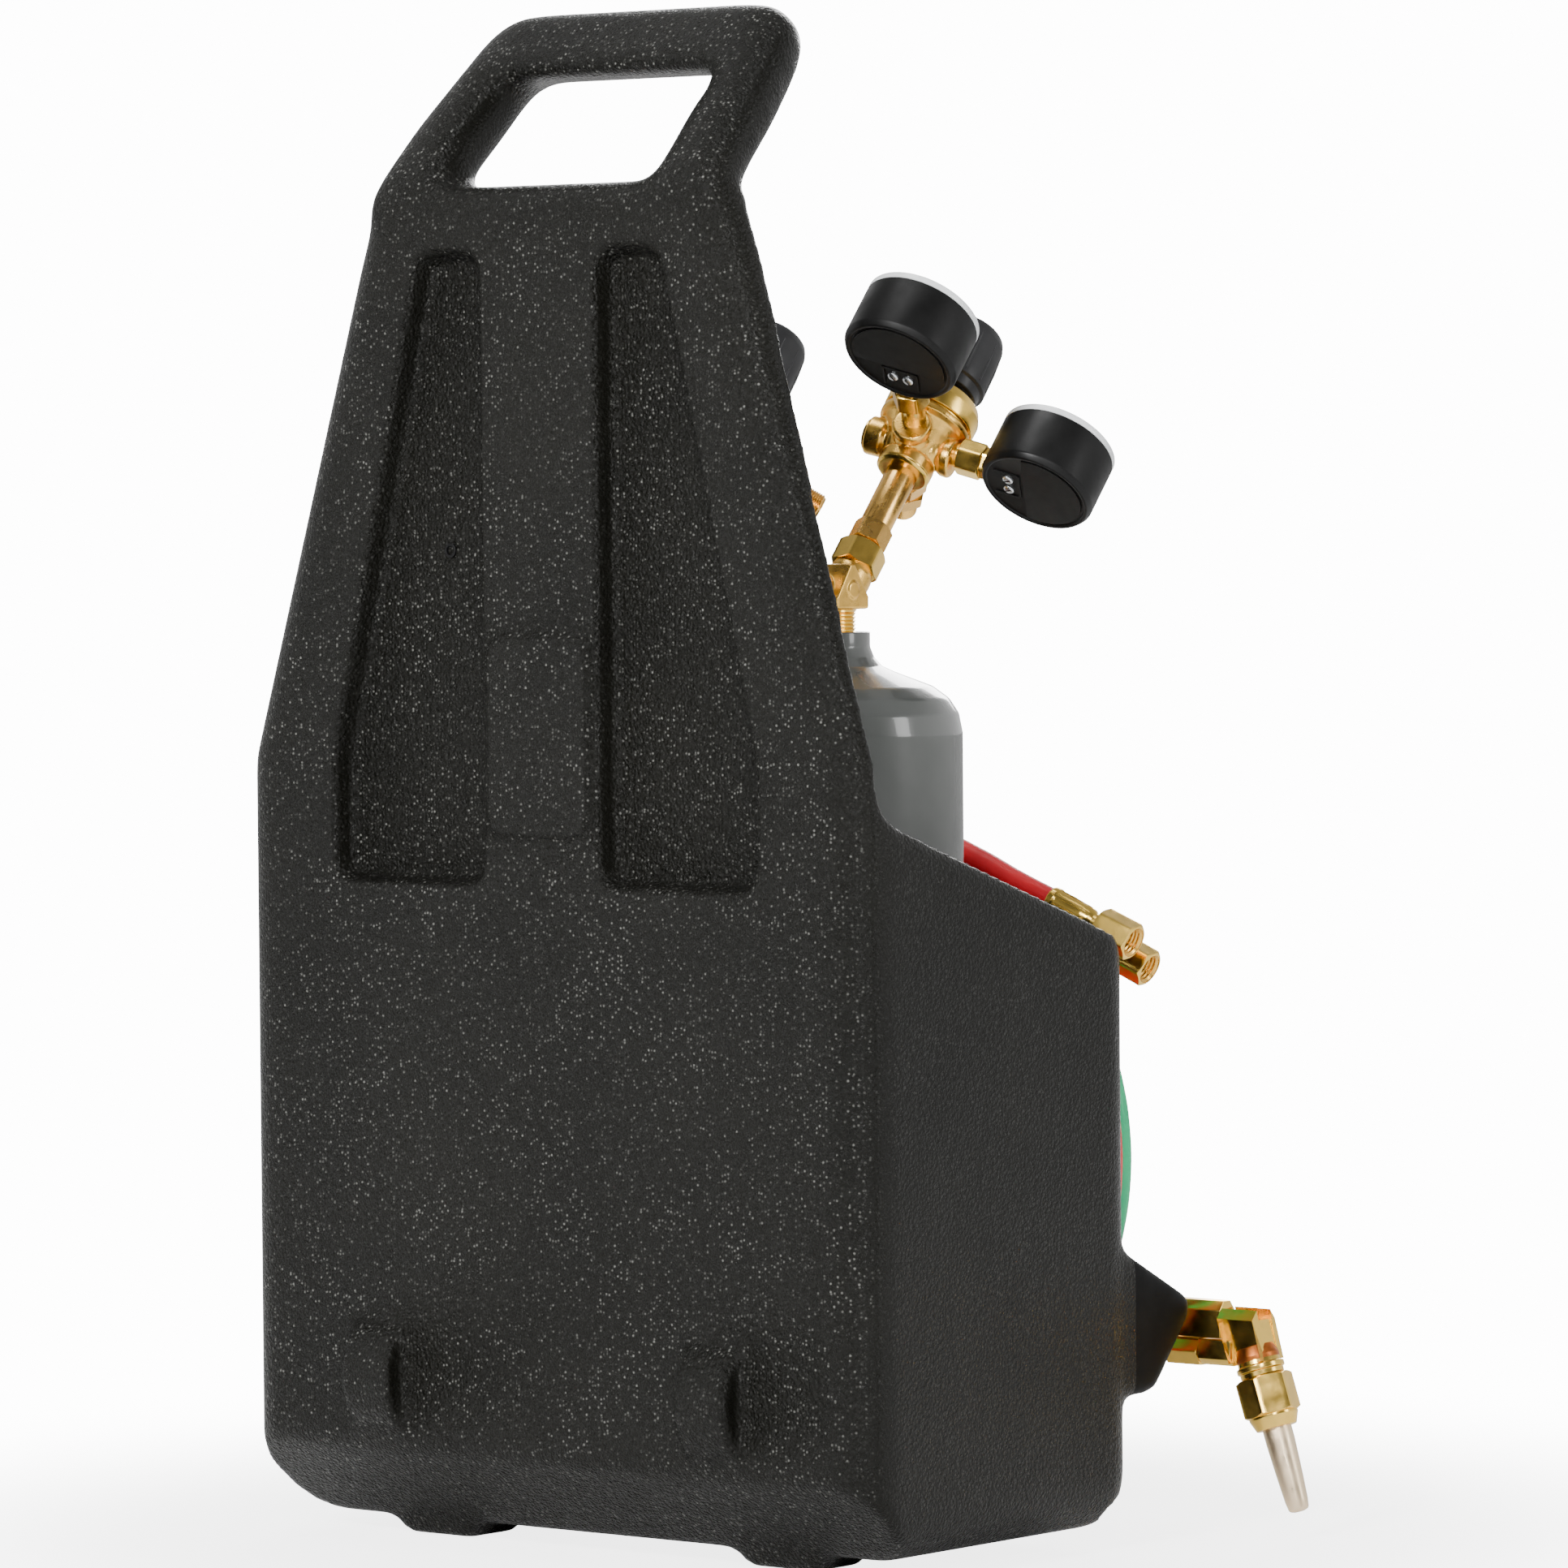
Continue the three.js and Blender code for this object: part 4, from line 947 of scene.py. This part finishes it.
    pointer = Shape()
    needle = spun(middle, dial_angle(0))
    pointer.prism([(-7, -1.2), (0, -0.8), (19.6, -0.25), (19.6, 0.25), (0, 0.8), (-7, 1.2)],
                  face + 2.2, face + 2.9, needle, 0.1)
    pointer.lathe([(0, face + 0.8), (1.6, face + 0.8), (1.6, face + 1.8), (2.6, face + 1.9),
                   (2.6, face + 3.6), (0, face + 3.9)], middle, 32, 0.3)
    piece(f"{gas}_{use}_needle", pointer, INK, f"{gas}_{use}_pointer", "black_plastic",
          f"{gas}_{use}_gauge_pointer")


# ---- torch ----

TOWARDS_HEAD = (-1, 0, 0)


def torch_line(x, z=TORCH_Z, y=TORCH_Y):
    return aimed((x, y, z), TOWARDS_HEAD, (0, 0, 1))


def knob_stem(way):
    return aimed((118, TORCH_Y, TORCH_Z), way, (1, 0, 0))


def build_torch():
    handle = Shape()
    line = torch_line(112)
    grip = [(0, 2), (10, 2), (12.5, 5, 1.5)]
    for i in range(9):
        low = 12 + i * 11.5
        grip += [(12.6, low, 0.4), (11.7, low + 1.2, 0.4), (11.7, low + 2.2, 0.4), (12.6, low + 3.4, 0.4)]
    grip += [(12.6, 119, 1.5), (10.6, 124, 1), (9, 126), (9, 140.2), (0, 140.2)]
    handle.lathe(grip, line, 64, 0.5)
    rear = torch_line(131)
    handle.lathe([(0, 0), (10.8, 0), (12.6, 3.5, 1.5), (12.6, 24, 1.5), (11, 27), (0, 27)], rear, 48, 0.6)
    for side in (-7.2, 7.2):
        inlet = torch_line(131, y=TORCH_Y + side)
        handle.nut(11, -2.4, 0.6, inlet)
        handle.thread(4.6, -6.8, -2, 1.1, 0.5, inlet)
    upward, downward = (0, -0.45, 0.9), (0, -0.45, -0.9)
    for way in (upward, downward):
        stem = knob_stem(way)
        handle.lathe([(0, 4), (6.4, 4), (5.6, 12), (5, 14), (0, 14)], stem, 32, 0.8)
        handle.nut(10.5, 13.6, 18.8, stem)
    piece("torch_grip", handle, BRASS, "carrier", "brass", "torch_handle")
    build_torch_knob("torch_oxygen_knob", upward, GREEN_KNOB, "green_rubber")
    build_torch_knob("torch_fuel_knob", downward, RED_KNOB, "red_rubber")
    build_attachment()
    build_head()


def fluted(radius, count, depth, low, high, matrix):
    """A knob with rounded flutes round its edge."""
    def radius_at(r, angle):
        return r - depth * max(0, math.cos(count * angle)) if r > radius - 2.2 else r

    profile = rounded_path([(0, low), (radius - 1, low), (radius, low + 1.5), (radius - 0.3, high - 2),
                            (radius - 2, high), (0, high)], 0.8)
    rows = [ring(lambda a, r=r: radius_at(r, a), height, count * 8) if r > 1e-6 else [(0, 0, height)]
            for r, height in profile]
    return Shape().rows(rows, matrix)


def build_torch_knob(name, way, material, slot):
    stem = knob_stem(way)
    piece(f"{name}_cap", fluted(9, 10, 0.9, 23, 37, stem), material, name, slot, name)
    spindle = Shape().rod(2.4, 19.2, 24, stem).rod(2.6, 36.9, 37.5, stem)
    piece(f"{name}_spindle", spindle, BRASS, name, "brass")


def build_attachment():
    nut = fluted(14.4, 18, 0.7, 0.4, 20, torch_line(-28))
    piece("coupling_nut_knurled", nut, BRASS, "carrier", "brass", "attachment_coupling_nut")
    start = torch_line(-48.5)
    body = Shape()
    body.lathe([(0, 0), (10.6, 0), (12, 2, 1), (12, 42, 2), (9.6, 46), (0, 46)], start, 48, 0.6)
    pin_at = (-60.2, TORCH_Y, TORCH_Z + 17)
    side = Matrix.Translation(pin_at) @ Matrix((
        (1, 0, 0, 0), (0, 0, 1, 0), (0, 1, 0, 0), (0, 0, 0, 1)))
    body.prism([(-5, -10), (5, -10), (4, -3), (3.4, 2), (-3.4, 2), (-4, -3)], -3, 3, side, 0.8)
    valve = aimed((-82.2, TORCH_Y, TORCH_Z), (0, -1, 0), (1, 0, 0))
    body.lathe([(0, 6), (6.4, 6), (5.6, 13.4), (0, 13.4)], valve, 32, 0.6)
    body.nut(10.4, 12.6, 16.4, valve)
    piece("attachment_casting", body, CAST_BRASS, "carrier", "brass", "attachment_body")
    knob = fluted(9, 10, 0.9, 17, 28.6, valve)
    piece("preheat_knob_cap", knob, BRASS, "preheat_knob", "brass", "attachment_preheat_knob")

    lever = Shape()
    blade = [(8, -1.6, 2), (96, 6.2, 8), (109, 11.3, 2), (107.4, 14.2, 1.6), (94, 9.2, 8), (9, 4.9, 1)]
    lever.prism(rounded_path(blade, 1, 4, closed=True), -6.4, 6.4, side, 0.7)
    for low, high in ((-6.4, -3.4), (3.4, 6.4)):
        lever.prism([(-13, -1), (-3, -4), (4, -4), (12, -1), (12, 4.6), (-13, 4)], low, high, side, 0.6)
    lever.prism([(-13, 3.2), (10, 3.2), (10, 5), (-13, 4.2)], -6.2, 6.2, side, 0.3)
    piece("lever_pressing", lever, BRASS, "lever", "brass", "cutting_lever")
    pin = Shape().rod(1.45, -7.6, 7.6, aimed(pin_at, (0, 1, 0)))
    for end in (-1, 1):
        pin.rod(2.2, 7.0, 7.7, aimed(pin_at, (0, end, 0)), soft=0.3)
    piece("lever_rivet", pin, STEEL, "carrier", "steel", "cutting_lever_pin")


def build_head():
    lean = math.radians(18.3)
    tip_way = (-math.sin(lean), 0, -math.cos(lean))
    top = (-206.6, TORCH_Y, 106)
    line_in_x = Matrix.Translation((0, TORCH_Y, 0)) @ OUTLINE_IN_YZ
    upper = Shape()
    upper.lathe([(0, 0), (5.2, 0), (5.2, 76), (0, 76)], torch_line(-94.5, 103.4), 40)
    bar = [(-6.1, 92.2), (6.1, 92.2), (6.1, 105.4), (2.6, 109.8), (-2.6, 109.8), (-6.1, 105.4)]
    upper.prism(bar, -196.3, -168.2, line_in_x, 0.5)
    piece("cutting_oxygen_tube", upper, BRASS, "carrier", "brass", "torch_cutting_tube", sharp=24)
    lower = Shape()
    lower.lathe([(0, 0), (3.5, 0), (3.5, 72), (0, 72)], torch_line(-94.5, 86.5), 32)
    lower.nut(13.2, 68.8, 88.6, torch_line(-94.5, 85.2), turn=0.0)
    foot = [(-7.3, 82.4), (-4, 79.2), (4, 79.2), (7.3, 82.4), (7.3, 91.5), (-7.3, 91.5)]
    lower.prism(foot, -203, -184, line_in_x, 0.5)
    piece("preheat_gas_tube", lower, BRASS, "carrier", "brass", "torch_preheat_tube", sharp=24)

    # the head leans with the tip: a bar whose section is chamfered along its top corners
    front_view = Matrix.Translation((0, TORCH_Y, 0)) @ Matrix((
        (1, 0, 0, 0), (0, 0, -1, 0), (0, 1, 0, 0), (0, 0, 0, 1)))
    head = Shape()
    cheeks = [(-196.8, 106.6), (-197.6, 99), (-203.6, 81), (-222.2, 83.4), (-217.2, 106.6)]
    head.add(*chamfered_prism(cheeks, 9.3, 5.4, 4.6), front_view)
    tip_line = aimed(top, tip_way, (0, 1, 0))
    head.lathe([(0, 23), (10.0, 23), (10.4, 26.6, 0.3), (11.5, 27.2), (11.5, 29.4), (10.5, 30), (10.5, 32.2),
                (0, 32.2)], tip_line, 48, 0.4)
    head.lathe([(0, 18), (8.8, 18), (10.3, 22.6, 1), (10.2, 25.2, 0.8), (0, 25.4)], tip_line, 48, 0.4,
               look=1)
    piece("head_forging", head, [BRASS, BRAZE], "carrier", "brass", "torch_head", sharp=24)
    nut = Shape().nut(24.4, 32.6, 51.2, tip_line, turn=0.25)
    nut.lathe([(0, 50.4), (11.8, 50.4), (11.8, 52.2, 0.6), (9.7, 57.6, 0.6), (0, 57.9)], tip_line, 56, 0.5)
    piece("head_nut", nut, BRASS, "carrier", "brass", "torch_tip_nut")
    tip = Shape().lathe([
        (0, 54), (7.0, 54), (7.0, 64, 3), (6.3, 80, 8), (5.5, 93, 3), (4.8, 97.6, 1.8), (2.4, 98.4, 0.4),
        (1.1, 98.3, 0.2), (1.1, 95), (0, 95)], tip_line, 48, 0.3)
    piece("cutting_tip", tip, COPPER, "carrier", "copper", "torch_tip")


def chamfered_prism(outline, half_width, top_half_width, drop):
    """An outline in X and Z, wide below and narrowed over its last drop of height."""
    highest = max(z for _, z in outline)
    rows = []
    steps = ((-1, top_half_width, 0), (-1, half_width, drop), (1, half_width, drop),
             (1, top_half_width, 0))
    for side, width, cut in steps:
        rows.append([(x, min(z, highest - cut), side * width) for x, z in outline])
    count = len(outline)
    verts = [point for row in rows for point in row]
    faces = [list(range(count))[::-1], [3 * count + i for i in range(count)]]
    for r in range(3):
        for i in range(count):
            j = (i + 1) % count
            faces.append([r * count + i, r * count + j, (r + 1) * count + j, (r + 1) * count + i])
    return verts, faces


# ---- twin hose ----

HOSE_RUNS = {
    "red": dict(
        to_coil=[(172, -168.3, 97), (190, -168.1, 97.4), (212, -163.5, 110.5), (222, -155, 142),
                 (214, -147.5, 186), (190, -141, 232), (152, -138, 272), (104, -137, 303),
                 (56, -137, 320)],
        to_end=[(-40, -116, 329), (-70, -116, 327.5), (-95, -116, 319.2), (-118, -115.6, 309.3),
                (-137.6, -117.2, 301)],
        front=-137, back=-115, outer=139.0,
    ),
    "green": dict(
        to_coil=[(172, -182.7, 97), (192, -181.6, 97.5), (216, -177, 110), (229, -169, 142),
                 (222, -160.5, 188), (198, -153.5, 237), (158, -149.5, 279), (108, -148.3, 311),
                 (58, -148.3, 325.5)],
        to_end=[(-38, -128, 327), (-66, -128.6, 320.5), (-91, -130.4, 309.5), (-114, -132.8, 299),
                (-133.8, -135, 289.5)],
        front=-148, back=-126, outer=136.0,
    ),
}
INNER_RADIUS, BACK_RADIUS, OUTSIDE_RADIUS = 125.0, 136.5, 148.0


def coil_points(front, back, outer):
    """Four turns, anticlockwise from the front: front outer, front inner, back inner, back outer."""
    full = 360
    # where each change of lane starts and ends, as a total angle, and the lane it leads to
    changes = [
        (85, 115, outer, front),
        (55 + full, 85 + full, INNER_RADIUS, front),
        (5 + 2 * full, 55 + 2 * full, INNER_RADIUS, back),
        (-25 + 3 * full, 5 + 3 * full, BACK_RADIUS, back),
        (-55 + 4 * full, -25 + 4 * full, OUTSIDE_RADIUS, back),
    ]
    points = []
    first, last, step = 85, 94 + 4 * full, 9
    for k in range(round((last - first) / step) + 1):
        angle = first + k * step
        radius, y = OUTSIDE_RADIUS, front
        for start, end, next_radius, next_y in changes:
            share = smooth_step(angle, start, end)
            radius += (next_radius - radius) * share
            y += (next_y - y) * share
        turn = math.radians(angle)
        points.append((COIL_X + radius * math.cos(turn), y, COIL_Z + radius * math.sin(turn)))
    return points


def build_hose(colour, material):
    run = HOSE_RUNS[colour]
    route = run["to_coil"] + coil_points(run["front"], run["back"], run["outer"]) + run["to_end"]
    curve = bpy.data.curves.new(f"{colour}_hose", "CURVE")
    curve.dimensions = "3D"
    curve.bevel_depth = HOSE_DIAMETER / 2 * MM
    curve.bevel_resolution = 5
    curve.resolution_u = 6
    curve.use_fill_caps = True
    curve.materials.append(material)
    spline = curve.splines.new("BEZIER")
    spline.bezier_points.add(len(route) - 1)
    for point, place in zip(spline.bezier_points, route):
        point.co = placed(place)
        point.handle_left_type = point.handle_right_type = "AUTO"
    stands_for = [f"{colour}_hose_to_torch", f"{colour}_hose_to_end"]
    if colour == "red":
        stands_for.insert(0, "hose_coil")
    hose = add_piece(f"{colour}_hose", curve, "carrier", stands_for)
    fittings = build_fittings(colour, route)


def build_fittings(colour, route):
    x, y, z = route[0]
    inlet = aimed((x - 36, y, z), (1, 0, 0), (0, 0, 1))
    torch_nut = Shape().nut(11.9, 4, 15, inlet)
    torch_nut.lathe([(0, 14.6), (4.2, 14.6), (4.2, 18), (5.6, 18.6), (5.9, 20), (5.9, 34.6), (5.4, 35.6),
                     (0, 35.7)], inlet, 32, 0.4)
    pieces = [piece(f"{colour}_torch_fitting", torch_nut, BRASS, "carrier", "brass",
                    f"{colour}_torch_nut")]
    end, before = Vector(route[-1]), Vector(route[-2])
    line = aimed(end, end - before, (0, 0, 1))
    ferrule = Shape()
    ferrule.lathe([(0, 0.3), (6.5, 0.3), (6.7, 1.2), (6.7, 3.4), (6.2, 4.6), (6.0, 12), (6.0, 20),
                   (5.4, 24), (4.2, 26), (4.2, 38.6), (0, 38.6)], line, 48, 0.5)
    for i in range(8):
        ridge = spun(line, 2 * math.pi * i / 8)
        ferrule.sweep([ridge @ Vector((5.7, 0, 4)), ridge @ Vector((5.75, 0, 12)),
                       ridge @ Vector((5.2, 0, 22.5))], 0.8, 8)
    pieces.append(piece(f"{colour}_ferrule", ferrule, BRASS, "carrier", "brass",
                        f"{colour}_hose_ferrule"))
    nut = Shape().nut(16.6, 30, 49.6, line, bore=7.2, turn=0.2)
    nut.lathe([(4.6, 29.6), (7.6, 29.6), (7.6, 36), (4.6, 36)], line, 32, 0.3, closed=True)
    # the hole's ridged wall takes the darker forged brass as painted shade inside the nut
    nut.thread(6.0, 38, 49.2, 1.9, -1.1, line, inner=7.5, look=1)
    pieces.append(piece(f"{colour}_swivel_nut", nut, [BRASS, CAST_BRASS], "carrier", "brass",
                        f"{colour}_hose_nut"))
    return pieces


# ---- assembly ----

add_camera()
build_hose("red", RED_RUBBER)
build_hose("green", GREEN_RUBBER)
add_studio()
build_tote()
for gas_name, sizes in CYLINDERS.items():
    build_cylinder(gas_name, **sizes)
    build_valve(gas_name, **sizes)
    build_regulator(gas_name, **sizes)
build_torch()
